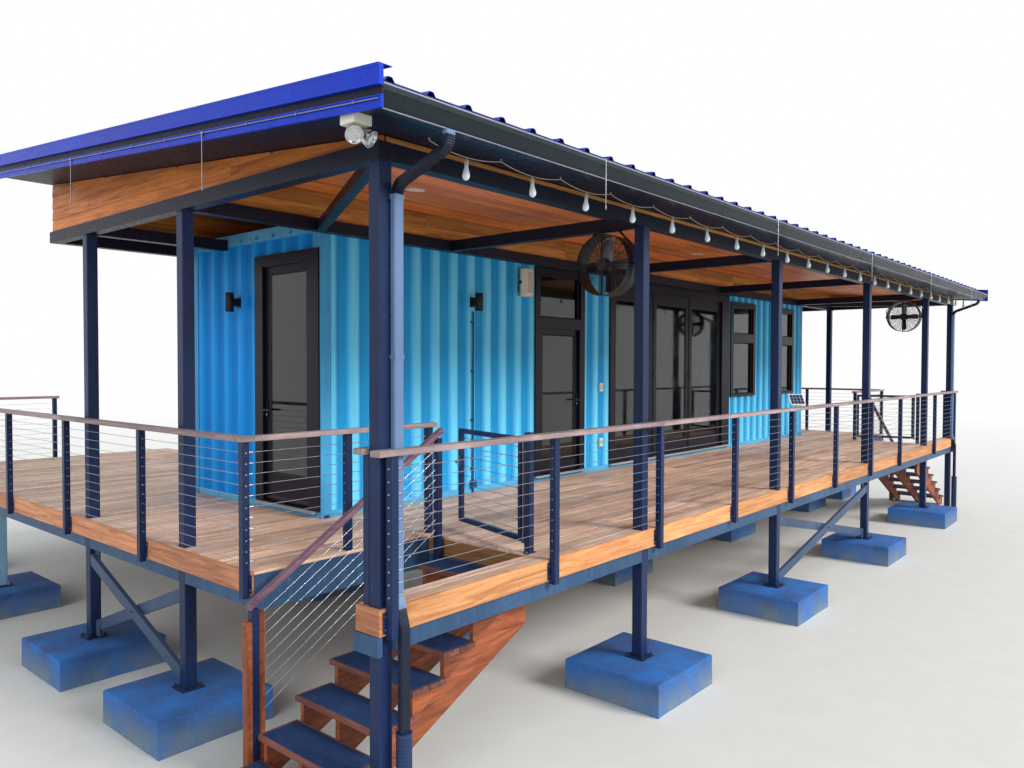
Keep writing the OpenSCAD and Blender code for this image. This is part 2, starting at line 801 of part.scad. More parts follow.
// A layer of the roof between two heights above its underside
module roof_layer(x0, x1, y0, y1, low, high) {
    translate([x0, 0, 0]) rotate([90, 0, 90]) linear_extrude(x1 - x0)
        polygon([[y0, soffit(y0) + low], [y1, soffit(y1) + low], [y1, soffit(y1) + high], [y0, soffit(y0) + high]]);
}
module ceiling_boards() {
    color("chocolate") roof_layer(roof_left, roof_right, roof_front, roof_back, 0, ceiling_t);
}
gable_t = 40;
module gable_boards() {
    color("peru") {
        for (x = [left_x, right_x])
            under_roof(x - gable_t / 2, x + gable_t / 2, front_y - half, back_girder_y + half, girder_top);
        under_roof(left_x + gable_t / 2 + eps, right_x - gable_t / 2 - eps, front_y - gable_t / 2, front_y + gable_t / 2, girder_top);
        under_roof(left_x + gable_t / 2 + eps, right_x - gable_t / 2 - eps, -side_post_front - gable_t / 2, -side_post_front + gable_t / 2, girder_top);
        under_roof(left_x + gable_t / 2 + eps, right_x - gable_t / 2 - eps, back_girder_y - gable_t / 2, back_girder_y + gable_t / 2, girder_top);
    }
}
purlin_wid = 60;
purlin_count = 7;
roof_top = ceiling_t + purlin_high;
trim_t = 20;
trim_drop = 16;
trim_split = 52;
cap_trim_t = 34;
cap_trim_low = 99;
cap_trim_rise = 10;
// Purlins, and on both sides a trim board under a cap trim that stands further out
module roof_frame() {
    color("royalblue") {
        for (i = [0:purlin_count - 1]) {
            y = roof_front + i * (roof_back - roof_front - purlin_wid) / (purlin_count - 1);
            roof_layer(roof_left, roof_right, y, y + purlin_wid, ceiling_t + clear, roof_top);
        }
        roof_trim();
        other_side() roof_trim();
    }
}
module roof_trim() {
    x = roof_left - clear;
    roof_layer(x - trim_t, x, part_front, roof_back, -trim_drop, trim_split);
    roof_layer(x - trim_t / 2, x, part_front, roof_back, trim_split, cap_trim_low);
    roof_layer(x - cap_trim_t, x, part_front, roof_back, cap_trim_low, roof_top + rib_high + cap_trim_rise);
}
rib_foot = 70;
rib_head = 30;
function rib_line(n, lift) = [for (i = [0:n - 1]) each let (c = roof_left + (i + 0.5) * (roof_right - roof_left) / n)
    [[c - rib_foot / 2, lift], [c - rib_head / 2, lift + rib_high], [c + rib_head / 2, lift + rib_high], [c + rib_foot / 2, lift]]];
module roof_sheet() {
    n = round((roof_right - roof_left) / rib_step);
    up = concat([[roof_left, sheet_t]], rib_line(n, sheet_t), [[roof_right, sheet_t]]);
    down = concat([[roof_left, 0]], rib_line(n, 0), [[roof_right, 0]]);
    run = (roof_back - roof_front) / cos(roof_slope);
    color("royalblue") translate([0, roof_front, soffit(roof_front) + roof_top + clear]) rotate([roof_slope, 0, 0])
        rotate([90, 0, 0]) translate([0, 0, -run]) linear_extrude(run)
            polygon(concat(up, [for (i = [len(down) - 1:-1:0]) down[i]]));
}
gutter_high = 110;
gutter_wall = 4;
module gutter_shape(inset) {
    polygon([[-inset, inset], [-inset - (gutter_deep - 55) + 2 * inset, inset], [-gutter_deep + inset, gutter_high - 35],
        [-gutter_deep + inset, gutter_high + (inset > 0 ? 1 : 0)], [-inset, gutter_high + (inset > 0 ? 1 : 0)]]);
}
gutter_drop = 6;
gutter_low = soffit(roof_front) - gutter_drop;
lowest_cable = 70;
spout_wid = 70;
spout_deep = 45;
spout_off = 70;
spout_x = left_x + spout_off;
spout_in_y = deck_front - clear - spout_deep / 2;
spout_out_y = fascia_front - clear - spout_deep / 2;
spout_step = 35;
spout_out = 65;
spout_neck = 90;
spout_swing = 160;
cable_room = 8;
kick_top = 4;
kick_low = -15;
foot_top = -130;
drain_high = 640;
drain_lap = 20;
drain_top = ground_z + drain_high;
drain_dia = 100;
function ahead(a, b) = (b - a) / norm(b - a);
function beside(p, i, w) = let (d = i > 0 ? ahead(p[i - 1], p[i]) : ahead(p[0], p[1]),
    e = i < len(p) - 1 ? ahead(p[i], p[i + 1]) : d, m = [-d.y - e.y, d.x + e.x]) p[i] + m * w / (m * m);
function ribbon(p, w) = concat([for (i = [0:len(p) - 1]) beside(p, i, w)],
    [for (i = [len(p) - 1:-1:0]) beside(p, i, -w)]);
// The way of a downspout in depth and height: under the gutter, back to the post, and out at the deck
spout_line = [[roof_front - spout_out, gutter_low - clear], [roof_front - spout_out, gutter_low - spout_neck],
    [spout_in_y, gutter_low - spout_neck - spout_swing], [spout_in_y, lowest_cable - cable_room],
    [spout_out_y, kick_top], [spout_out_y, kick_low],
    [spout_out_y - spout_step, foot_top], [spout_out_y - spout_step, drain_top]];
module downspout() {
    translate([spout_x - spout_wid / 2, 0, 0]) rotate([90, 0, 90]) linear_extrude(spout_wid)
        polygon(ribbon(spout_line, spout_deep));
    translate([spout_x, spout_out_y - spout_step, ground_z]) cylinder(d = drain_dia, h = drain_high + drain_lap, $fn = 48);
}
module gutters() {
    color("#16211f") {
        translate([roof_left, roof_front, gutter_low]) rotate([90, 0, 90])
            linear_extrude(roof_right - roof_left) difference() {
                gutter_shape(0);
                gutter_shape(gutter_wall);
            }
        downspout();
        other_side() downspout();
    }
}

// Railings
post_low = -board_t - joist_high - 20;
cap_low = rail_high - cap_t;
rail_off = fascia_t + rail_post / 2;
cable_gap = (cap_low - lowest_cable) / cable_count;
module rail_upright(x, low) {
    bar([x - rail_post / 2, -rail_post / 2, low], [x + rail_post / 2, rail_post / 2, cap_low]);
}
// A railing along x with posts at given places, centred on y = 0, with cables from its start
module panel(posts, start, low) {
    for (x = posts) rail_upright(x, low);
    for (i = [0:cable_count - 1])
        translate([start, 0, lowest_cable + i * cable_gap]) rotate([0, 90, 0])
            cylinder(d = cable_dia, h = posts[len(posts) - 1] - start, $fn = 6);
}
module cap(x0, x1) {
    bar([x0, -cap_wid / 2, cap_low], [x1, cap_wid / 2, rail_high]);
}
front_rail_x0 = left_x + 5;
front_rail_x1 = stair_top_x - 10;
// Post places from low to high in even steps, with the last step no shorter than half a step
function post_row(low, high, step) = concat(steps(low, high - step / 2, step), [high]);
front_rail_posts = concat([front_rail_x0], post_row(front_rail_x1, 2 * mid_x - front_rail_x1, front_rail_step),
    [2 * mid_x - front_rail_x0]);
corner_rail_in = 40;
corner_rail_y = corner_rail_in - stair_far;
rail_end_in = 100;
left_rail_posts = post_row(corner_rail_y, rear_edge - rail_end_in, side_rail_step);
right_rail_posts = post_row(corner_rail_y, box_wid - rail_end_in, side_rail_step);
front_rail_y = fascia_front - rail_post / 2;
left_rail_x = deck_left - rail_off;
well_rail_y = corner_rail_y;
corner_in = 60;
well_end = 32;
well_start = left_rail_x + rail_post / 2 + clear;
well_stop = stair_top_x + well_end;
well_rail_posts = [(well_start + well_stop) / 2, well_stop];
rear_rail_posts = row_of_three(deck_left + corner_in, stair_top_x);
function row_of_three(low, high) = [low, (low + high) / 2, high];
cap_over = 60;
module front_place() {
    translate([0, front_rail_y, 0]) children();
}
module left_place() {
    translate([left_rail_x, 0, 0]) rotate([0, 0, 90]) children();
}
module well_place() {
    translate([0, well_rail_y, 0]) children();
}
module rear_place() {
    translate([0, rear_edge + rail_off, 0]) children();
}
module railings() {
    color("#181c28") {
        front_place() panel(front_rail_posts, front_rail_posts[0], post_low);
        left_place() panel(left_rail_posts, left_rail_posts[0], post_low);
        other_side() left_place() panel(right_rail_posts, right_rail_posts[0], post_low);
        rear_place() panel(rear_rail_posts, rear_rail_posts[0], post_low);
        stair_rails();
        other_side() stair_rails();
    }
}
module stair_rails() {
    well_place() panel(well_rail_posts, well_start, 0);
    newel(0, rail_post, 0, cap_low);
    stair_guard();
    gate_post();
}
// A short post behind the corner post, and the block that caps it
module newel(over, deep, low, high) {
    bar([left_x - half - over, front_y + half + clear, low],
        [left_x - half + rail_post + over, front_y + half + clear + deep, high]);
}
newel_over = 50;
module rail_caps() {
    color("rosybrown") {
        difference() {
            front_place() cap(left_x - cap_end, right_x + cap_end);
            spout_notch();
            other_side() spout_notch();
        }
        left_place() cap(well_rail_y + cap_wid / 2 + eps, rear_edge + rail_off - cap_wid / 2 - eps);
        other_side() left_place() cap(well_rail_y + cap_wid / 2 + eps, box_wid);
        well_place() cap(left_rail_x - cap_wid / 2, stair_top_x + 40 + cap_over);
        other_side() well_place() cap(left_rail_x - cap_wid / 2, stair_top_x + 40 + cap_over);
        rear_place() cap(left_rail_x - cap_wid / 2, stair_top_x + cap_over);
        end_caps();
        other_side() end_caps();
    }
}
module end_caps() {
    stair_hand_rail();
    newel(newel_over, cap_wid, cap_low, rail_high);
}

cap_end = 130;
spout_room = 3;
// Where a downspout passes the front rail cap
module spout_notch() {
    bar([spout_x - spout_wid / 2 - spout_room, spout_in_y - spout_deep / 2 - spout_room, cap_low - eps],
        [spout_x + spout_wid / 2 + spout_room, deck_front, rail_high + eps]);
}

// Stairs
hand_past = 40;
hand_short = 20;
hand_t = cap_t * 1.2;
hand_wid = cap_wid / 1.5;
rise = deck_high / riser_count;
stair_near = deck_front + stair_strip;
stair_pitch = atan(rise / going);
guard_gap = 145;
guard_y = -stair_far - rail_post / 2 - guard_gap;
foot_past = 30;
guard_foot_x = stair_top_x - (riser_count - 2) * going - foot_past;
guard_in = 60;
guard_top_x = stair_top_x - guard_in;
guard_high = 900;
guard_under = 400;
guard_cables = 9;
first_wire = 120;
wire_step = 85;
// Height of the stair's nosing line
function nosing(x) = (x - stair_top_x) * rise / going;
module sloped(x0, x1, low, high) {
    polygon([[x0, nosing(x0) + low], [x1, nosing(x1) + low], [x1, nosing(x1) + high], [x0, nosing(x0) + high]]);
}
// Cables and foot post beside a flight; the cables end on the wood post
module stair_guard() {
    wire_x = guard_foot_x + rail_post / 2 + string_t + 2 * clear;
    translate([0, guard_y, 0]) {
        bar([guard_foot_x - rail_post / 2, -rail_post / 2, ground_z],
            [guard_foot_x + rail_post / 2, rail_post / 2, nosing(guard_foot_x - rail_post / 2) + guard_high]);
        bar([guard_top_x - rail_post / 2, -rail_post / 2, nosing(stair_top_x) - guard_under],
            [guard_top_x + rail_post / 2, rail_post / 2, nosing(guard_top_x - rail_post / 2) + guard_high]);
        rotate([90, 0, 0]) for (i = [0:guard_cables - 1])
            linear_extrude(cable_dia, center = true)
                sloped(wire_x, guard_top_x, first_wire + i * wire_step, first_wire + i * wire_step + cable_dia);
    }
}
module stair_hand_rail() {
    translate([0, guard_y, 0]) rotate([90, 0, 0]) linear_extrude(hand_wid, center = true)
        sloped(guard_foot_x - hand_past, stair_top_x - hand_short, guard_high, guard_high + hand_t);
}

function step_line(n) = [for (i = [0:n - 1]) each
    [[-i * going, -(i + 1) * rise - tread_t], [-(i + 1) * going, -(i + 1) * rise - tread_t]]];
string_deep = 330;
module string() {
    n = riser_count - 1;
    rotate([90, 0, 0]) linear_extrude(string_t, center = true) polygon(concat(
        step_line(n), [[-n * going, -deck_high], [-n * going + 200, -deck_high], [0, -rise - tread_t - string_deep]]));
}
string_in = 60;
foot_post_wid = 60;
module flight_strings() {
    for (y = [stair_near + string_in, (stair_near + tread_far) / 2, tread_far - string_in])
        translate([stair_top_x, y, 0]) string();
    for (x = [guard_foot_x - rail_post / 2 - string_t - clear, guard_foot_x + rail_post / 2 + clear])
        bar([x, tread_far + clear, ground_z], [x + string_t, tread_far + foot_post_wid, nosing(x) + guard_high - foot_post_drop]);
}
foot_post_drop = 60;
tread_far = guard_y - rail_post / 2;
module flight_treads() {
    for (i = [0:riser_count - 2])
        bar([stair_top_x - (i + 1) * going - 20, stair_near + 15, -(i + 1) * rise - tread_t],
            [stair_top_x - i * going - eps, tread_far, -(i + 1) * rise]);
}
module stair_strings() {
    color("#a54b28") {
        flight_strings();
        other_side() flight_strings();
    }
}
module stair_treads() {
    color("#1e3560") {
        flight_treads();
        other_side() flight_treads();
    }
}

gate_bar = 40;
gate_low = 80;
gate_high = cap_low - 20;
gate_cables = 9;
hinge_x = stair_top_x + 30;
hinge_y = stair_near + 90;
hinge_dia = 24;
gate_post_y = hinge_y - 60;
lug_t = 10;
module gate() {
    gate_tall = gate_high - gate_low;
    translate([hinge_x, hinge_y, 0]) rotate([0, 0, -gate_ajar]) {
        translate([0, 0, gate_low]) cylinder(d = hinge_dia, h = gate_tall, $fn = 32);
        translate([-gate_bar / 2, hinge_dia / 2 - 2, gate_low]) rotate([90, 0, 90])
            linear_extrude(gate_bar) difference() {
                square([gate_len - hinge_dia / 2, gate_tall]);
                translate([gate_bar, gate_bar])
                    square([gate_len - hinge_dia / 2 - 2 * gate_bar, gate_tall - 2 * gate_bar]);
            }
        for (i = [1:gate_cables])
            translate([0, gate_bar, gate_low + i * gate_tall / (gate_cables + 1)]) rotate([-90, 0, 0])
                cylinder(d = cable_dia, h = gate_len - 2 * gate_bar + 10, $fn = 6);
    }
}
// The post that carries the gate, with a lug under and over the gate's hinge barrel
module gate_post() {
    translate([hinge_x, gate_post_y, 0]) {
        bar([-rail_post / 2, -rail_post / 2, 0], [rail_post / 2, rail_post / 2, gate_high + 40]);
        for (z = [gate_low - clear - lug_t, gate_high + clear])
            bar([-hinge_dia / 2, rail_post / 2 - eps, z], [hinge_dia / 2, hinge_y - gate_post_y + hinge_dia / 2, z + lug_t]);
    }
}
module left_gate() {
    color("#181c28") gate();
}
module right_gate() {
    color("#181c28") other_side() gate();
}

yoke_out = 310;
yoke_gap = 6;
fan_back_y = half + yoke_out + yoke_gap;
yoke_t = 8;
yoke_wid = 40;
fan_z = girder_low - yoke_out;
drum_t = 5;
blade_count = 4;
blade_tip = 35;
hub_dia = 90;
module at_fan(x) {
    translate([x, front_y + fan_back_y, fan_z]) rotate([0, 90, 0]) children();
}
module octagon(apothem) {
    rotate(22.5) circle(r = apothem / cos(22.5), $fn = 8);
}
// Drum with motor struts, hung in a bent flat yoke
module fan_frame() {
    linear_extrude(yoke_wid, center = true) intersection() {
        difference() {
            octagon(yoke_out);
            octagon(yoke_out - yoke_t);
        }
        translate([-yoke_out, -yoke_out]) square([yoke_out + 30, 2 * yoke_out]);
    }
    for (s = [-1, 1]) translate([0, s * (fan_dia / 2 - eps), 0]) rotate([-90 * s, 0, 0])
        cylinder(d = 26, h = yoke_out - yoke_t - fan_dia / 2 + 2 * eps, $fn = 32);
    difference() {
        cylinder(d = fan_dia, h = fan_deep, center = true, $fn = 96);
        cylinder(d = fan_dia - 2 * drum_t, h = fan_deep + 2, center = true, $fn = 96);
    }
    for (a = [0, 90]) rotate([0, 0, a])
        translate([-fan_dia / 2 + drum_t / 2, -10, -fan_deep / 2 + 5]) cube([fan_dia - drum_t, 20, 6]);
    translate([0, 0, motor_back]) cylinder(d = 120, h = motor_front - motor_back, $fn = 48);
}
motor_back = -fan_deep / 2 + 8;
motor_front = -15;
module fan_rotor() {
    translate([0, 0, motor_front + clear]) cylinder(d = hub_dia, h = 50, $fn = 48);
    for (i = [0:blade_count - 1]) rotate([0, 0, i * 360 / blade_count])
        translate([0, 0, 15]) rotate([28, 0, 0])
            translate([hub_dia / 2 - 8, -45, -2]) cube([fan_dia / 2 - hub_dia / 2 + 8 - blade_tip, 90, 4]);
}
module fan_frames() {
    color("#222222") for (x = [front_post_a, front_post_d]) at_fan(x) fan_frame();
}
module left_fan() {
    color("#444444") at_fan(front_post_a) fan_rotor();
}
module right_fan() {
    color("#444444") at_fan(front_post_d) fan_rotor();
}

// Lamps, a speaker and boxes on the walls
lamp_dia = 90;
lamp_high = 200;
module up_down_lamp() {
    translate([0, -60 - lamp_dia / 2, -lamp_high / 2]) cylinder(d = lamp_dia, h = lamp_high, $fn = 48);
    bar([-25, -65, -40], [25, skin_in, 40]);
}
module wall_fittings() {
    color("#202028") {
        on_left_end() translate([end_lamp_y, 0, lamp_z]) up_down_lamp();
        translate([front_lamp_x, 0, front_lamp_z]) up_down_lamp();
        translate([entry_x - speaker_gap, 0, speaker_low])
            bar([-speaker_wid / 2, -speaker_deep, 0], [speaker_wid / 2, skin_in, speaker_high]);
        translate([front_lamp_x, -conduit_dia / 2, conduit_low])
            cylinder(d = conduit_dia, h = front_lamp_z - lamp_high / 2 - conduit_gap - conduit_low, $fn = 32);
        light_wire();
    }
}
light_y = front_y - 250;
light_x0 = -1223;
light_step = 648;
light_bays = 23;
light_sag = 38;
wire_t = 5;
wire_cuts = 6;
hook_high = 14;
hook_dia = 8;
wire_top = soffit(light_y) - clear - hook_high;
// The wire of the string lights, hung in even bays from hooks under the ceiling
module light_wire() {
    way = [for (i = [0:light_bays * wire_cuts]) let (t = i / wire_cuts, u = 2 * (t - floor(t)) - 1)
        [light_x0 + t * light_step, wire_top - light_sag * (1 - u * u)]];
    translate([0, light_y, 0]) rotate([90, 0, 0]) linear_extrude(wire_t, center = true) polygon(ribbon(way, wire_t));
    for (i = [0:light_bays])
        translate([light_x0 + i * light_step, light_y, wire_top - wire_t / 2])
            cylinder(d = hook_dia, h = hook_high + wire_t / 2 - hook_dia / 2 * tan(roof_slope), $fn = 12);
}
speaker_gap = 300;
speaker_low = 2300;
speaker_wid = 220;
speaker_deep = 140;
speaker_high = 340;
conduit_dia = 26;
conduit_low = 3;
conduit_gap = 5;
front_lamp_up = 60;
front_lamp_z = lamp_z + front_lamp_up;

place() footings();
place() piers();
place() porch_posts();
place() deck_beams();
place() deck_cross_beams();
place() deck_joists();
place() front_deck();
place() side_decks();
place() rear_deck();
place() deck_fascia();
place() x_braces();
place() front_wall();
place() back_wall();
place() left_end_wall();
place() right_end_wall();
place() container_rails();
place() corner_posts();
place() container_floor();
place() container_roof();
place() end_door_frame();
place() end_door();
place() end_door_glass();
place() entry_door_frame();
place() entry_door();
place() entry_door_glass();
place() patio_doors();
place() side_windows();
place() fixed_glass();
place() wall_fittings();
place() roof_girders();
place() roof_cross_beams();
place() ceiling_boards();
place() gable_boards();
place() roof_frame();
place() roof_sheet();
place() gutters();
place() railings();
place() rail_caps();
place() left_gate();
place() right_gate();
place() stair_strings();
place() stair_treads();
place() fan_frames();
place() left_fan();
place() right_fan();
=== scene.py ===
import math
import random

import bpy
from mathutils import Matrix, Vector


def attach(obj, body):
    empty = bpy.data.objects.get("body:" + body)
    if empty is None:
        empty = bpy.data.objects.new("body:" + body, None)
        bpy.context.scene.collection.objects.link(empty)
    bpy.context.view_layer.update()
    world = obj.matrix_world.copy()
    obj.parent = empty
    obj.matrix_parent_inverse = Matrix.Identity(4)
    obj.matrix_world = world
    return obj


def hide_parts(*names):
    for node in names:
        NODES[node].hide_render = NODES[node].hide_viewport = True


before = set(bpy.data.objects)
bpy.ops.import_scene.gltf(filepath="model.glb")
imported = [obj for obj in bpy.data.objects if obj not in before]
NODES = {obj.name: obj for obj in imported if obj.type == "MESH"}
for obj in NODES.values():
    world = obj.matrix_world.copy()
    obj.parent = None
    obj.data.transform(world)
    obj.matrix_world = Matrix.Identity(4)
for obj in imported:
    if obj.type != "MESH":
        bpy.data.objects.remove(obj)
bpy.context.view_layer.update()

ROOT = "root"
TURN = 2 * math.pi
UP, DOWN = (0, 0, 1), (0, 0, -1)

# Site frame of the source in millimetres: x right, y back, z = 0 on the deck, origin at the
# container's front left corner. MID and DECK move it to the model frame.
MID_X, MID_Y, DECK = 6031.0, 2093.75, 1420.0
BOX_L, BOX_W, WALL = 12192, 2438, 110


def at(x, y, z):
    return Vector(((x - MID_X) / 1000, (y - MID_Y) / 1000, (z + DECK) / 1000))


def other(x):
    """The mirrored place, about the middle of the length."""
    return 2 * MID_X - x


# Camera, fitted to the photograph
FOCAL_PX, IMAGE_W, SENSOR = 790.35, 1024, 36.0
YAW, PITCH, ROLL = math.radians(49.35), math.radians(1.414), math.radians(0.149)
EYE = at(-4498, -6248, 1470)


def make_camera():
    cam = bpy.data.objects.new("camera", bpy.data.cameras.new("camera"))
    bpy.context.scene.collection.objects.link(cam)
    level = math.cos(PITCH)
    forward = Vector((math.sin(YAW) * level, math.cos(YAW) * level, -math.sin(PITCH)))
    right = Vector((math.cos(YAW), -math.sin(YAW), 0))
    up = right.cross(forward)
    rolled_right = math.cos(ROLL) * right + math.sin(ROLL) * up
    rolled_up = -math.sin(ROLL) * right + math.cos(ROLL) * up
    turn = Matrix((rolled_right, rolled_up, -forward)).transposed().to_4x4()
    cam.matrix_world = Matrix.Translation(EYE) @ turn
    cam.data.sensor_width = SENSOR
    cam.data.lens = FOCAL_PX * SENSOR / IMAGE_W
    cam.data.clip_start, cam.data.clip_end = 0.1, 400
    bpy.context.scene.camera = cam


# Material nodes
def srgb(colour):
    def linear(c):
        return c / 12.92 if c <= 0.04045 else ((c + 0.055) / 1.055) ** 2.4
    return (*(linear(c / 255) for c in colour), 1.0)


def darker(colour, share):
    return (*(c * share for c in colour[:3]), 1.0)


class Look:
    """A material under construction, with short names for the nodes it uses."""

    def __init__(self, name):
        self.mat = bpy.data.materials.new(name)
        self.mat.use_nodes = True
        self.tree = self.mat.node_tree
        self.shader = self.tree.nodes["Principled BSDF"]

    def put(self, socket, value):
        if isinstance(value, bpy.types.NodeSocket):
            self.tree.links.new(value, socket)
        else:
            socket.default_value = value

    def node(self, kind, inputs=(), **props):
        n = self.tree.nodes.new(kind)
        for k, v in props.items():
            setattr(n, k, v)
        for k, v in dict(inputs).items():
            self.put(n.inputs[k], v)
        return n

    def object_place(self):
        return self.node("ShaderNodeTexCoord").outputs["Object"]

    def place(self, scale=(1, 1, 1), shift=(0, 0, 0)):
        inputs = {"Vector": self.object_place(), "Scale": scale, "Location": shift}
        return self.node("ShaderNodeMapping", inputs).outputs[0]

    def axis(self, name):
        return self.node("ShaderNodeSeparateXYZ", {0: self.object_place()}).outputs[name]

    def noise(self, where, scale, detail=4, rough=0.55, warp=0.0):
        inputs = {"Vector": where, "Scale": scale, "Detail": detail, "Roughness": rough, "Distortion": warp}
        return self.node("ShaderNodeTexNoise", inputs).outputs["Fac"]

    def math(self, op, a, b=0.0):
        return self.node("ShaderNodeMath", {0: a, 1: b}, operation=op).outputs[0]

    def times(self, a, b):
        return self.math("MULTIPLY", a, b)

    def band(self, value, low, high, to_low=0.0, to_high=1.0):
        inputs = {"Value": value, "From Min": low, "From Max": high, "To Min": to_low, "To Max": to_high}
        return self.node("ShaderNodeMapRange", inputs).outputs[0]

    def mix(self, fac, a, b, blend="MIX"):
        n = self.node("ShaderNodeMix", data_type="RGBA", blend_type=blend)
        for name, value in (("Factor", fac), ("A", a), ("B", b)):
            self.put(n.inputs[name], value)
        return n.outputs["Result"]

    def bump(self, height, distance, strength=1.0):
        n = self.node("ShaderNodeBump", {"Height": height, "Distance": distance, "Strength": strength})
        self.put(self.shader.inputs["Normal"], n.outputs[0])

    def done(self, colour, rough, **sockets):
        self.put(self.shader.inputs["Base Color"], colour)
        self.put(self.shader.inputs["Roughness"], rough)
        for k, v in sockets.items():
            self.put(self.shader.inputs[k.replace("_", " ")], v)
        return self.mat


def paint(name, colour, dark, rough=0.4, streak=0.35, dust_and_sheen=None):
    """Paint on metal, with rain streaks, a pale mottle that is part dusting and part painted sheen, and an
    orange-peel surface.
    """
    k = Look(name)
    colour, dark = srgb(colour), srgb(dark)
    patches = k.noise(k.place(), 0.9, 3)
    streaks = k.noise(k.place((5, 5, 0.35)), 3.0, 5, 0.65)
    fine = k.noise(k.place(), 34, 3)
    tone = k.mix(k.band(patches, 0.3, 0.75, 0, 0.6), colour, dark)
    tone = k.mix(k.times(k.band(streaks, 0.52, 0.8), streak), tone, dark)
    # Pale mottle: part dusting, part painted sheen on the dark paints.
    if dust_and_sheen:
        dust_sheen_mask = k.times(k.band(streaks, 0.3, 0.5, 0.3, 0.0), k.band(fine, 0.45, 0.7))
        tone = k.mix(dust_sheen_mask, tone, srgb(dust_and_sheen))
    k.bump(k.noise(k.place(), 900, 2), 0.0004, 0.35)
    return k.done(tone, k.band(fine, 0.3, 0.7, rough - 0.07, rough + 0.1), Specular_IOR_Level=0.2)


def timber(name, light, dark, along, plank=True, rough=0.55, worn=None, fine=1.0):
    """Wood with its grain along an axis. Each board has its own tone and figure."""
    k = Look(name)
    light, dark = srgb(light), srgb(dark)
    squeeze = tuple(0.055 if a == along else 1.0 for a in "xyz")
    own = k.node("ShaderNodeNewGeometry").outputs["Random Per Island"]
    spread = {i: k.times(own, far) for i, far in enumerate((37.0, 91.0, 53.0))}
    where = k.place(squeeze, k.node("ShaderNodeCombineXYZ", spread).outputs[0])
    rings = k.noise(where, 22 * fine, 5, 0.6, 1.2)
    pores = k.noise(where, 160 * fine, 3, 0.6)
    tone = k.mix(k.band(rings, 0.35, 0.68), light, dark)
    tone = k.mix(k.times(k.band(pores, 0.5, 0.75), 0.45), tone, dark)
    if plank:
        shade = k.band(own, 0, 1, 0.66, 1.18)
        grey = k.node("ShaderNodeCombineColor", {0: shade, 1: shade, 2: shade}).outputs[0]
        tone = k.mix(1.0, tone, grey, "MULTIPLY")
    if worn:
        patches = k.noise(k.place((1.6, 1.6, 1.6)), 1.7, 4)
        tone = k.mix(k.times(k.band(patches, 0.5, 0.74), 0.38), tone, srgb(worn))
    k.bump(k.math("ADD", k.times(rings, 0.6), k.times(pores, 0.4)), 0.0016, 0.7)
    return k.done(tone, k.band(pores, 0.3, 0.7, rough - 0.08, rough + 0.12), Specular_IOR_Level=0.3)


def concrete(name, colour, dark, bare):
    """Painted concrete with pores, worn patches and splashes near the ground."""
    k = Look(name)
    patches = k.noise(k.place(), 2.6, 6, 0.62)
    pores = k.noise(k.place(), 55, 4)
    tone = k.mix(k.band(patches, 0.38, 0.66), srgb(colour), srgb(dark))
    tone = k.mix(k.times(k.band(pores, 0.58, 0.72), 0.55), tone, srgb(bare))
    low = k.times(k.band(k.axis("Z"), 0.02, 0.24, 0.85, 0.1), k.band(patches, 0.3, 0.6))
    tone = k.mix(low, tone, srgb(bare))
    k.bump(k.math("ADD", patches, k.times(pores, 0.3)), 0.006, 0.8)
    return k.done(tone, 0.78)


def metal(name, colour, rough=0.35, grain=140):
    """Bare metal, a little smeared."""
    k = Look(name)
    smear = k.noise(k.place(), grain, 3)
    tone = k.mix(k.band(smear, 0.3, 0.7), srgb(colour), darker(srgb(colour), 0.7))
    return k.done(tone, k.band(smear, 0.3, 0.7, rough - 0.08, rough + 0.1), Metallic=1.0)


def clear(name, tint):
    """Glazing: a faint tint, with the light smears of a washed pane."""
    k = Look(name)
    smear = k.noise(k.place((1, 1, 2.5)), 2.3, 4)
    tone = k.mix(k.band(smear, 0.4, 0.7), srgb(tint), darker(srgb(tint), 0.93))
    return k.done(tone, k.band(smear, 0.45, 0.75, 0.02, 0.07), IOR=1.45, Transmission_Weight=1.0)


LINING, SPECK_BLUE, CREST_DEPTH = (206, 196, 178), (150, 200, 220), 0.036


def wall_paint(name, colour, dark, crest_highlight=None, axis="Y"):
    """The container's skin outside and a pale lining inside, told apart by place. A painted
    highlight lightens what stands furthest out on either side of an axis, the outer faces of the
    corrugations, so the recesses read darker as painted shade."""
    k = Look(name)
    dark = srgb(dark)
    patches = k.noise(k.place(), 1.1, 3)
    streaks = k.noise(k.place((7, 7, 0.25)), 3.0, 5, 0.65)
    specks = k.noise(k.place(), 60, 3)
    tone = k.mix(k.band(patches, 0.3, 0.75, 0, 0.6), srgb(colour), dark)
    # Painted highlight on the corrugations' outer faces; the recesses stay darker as painted shade.
    if crest_highlight:
        low, high = (getattr(p, axis.lower()) for p in (at(0, 0, 0), at(BOX_L, BOX_W, 0)))
        half = (high - low) / 2
        out = k.math("ABSOLUTE", k.math("SUBTRACT", k.axis(axis), (low + high) / 2))
        tone = k.mix(k.band(out, half - CREST_DEPTH, half - 0.004), tone, srgb(crest_highlight))
    tone = k.mix(k.times(k.band(streaks, 0.5, 0.78), 0.4), tone, dark)
    tone = k.mix(k.times(k.band(specks, 0.66, 0.78), 0.3), tone, srgb(SPECK_BLUE))
    inside, skin = 1.0, WALL - 12
    for name, low, high in zip("XY", at(skin, skin, 0), at(BOX_L - skin, BOX_W - skin, 0)):
        for test, edge in (("GREATER_THAN", low), ("LESS_THAN", high)):
            inside = k.times(inside, k.math(test, k.axis(name), edge))
    lining = k.mix(k.band(specks, 0.4, 0.6), srgb(LINING), darker(srgb(LINING), 0.94))
    tone = k.mix(inside, tone, lining)
    k.bump(k.noise(k.place(), 500, 2), 0.0005, 0.4)
    return k.done(tone, k.band(specks, 0.3, 0.7, 0.4, 0.55), Specular_IOR_Level=0.15)
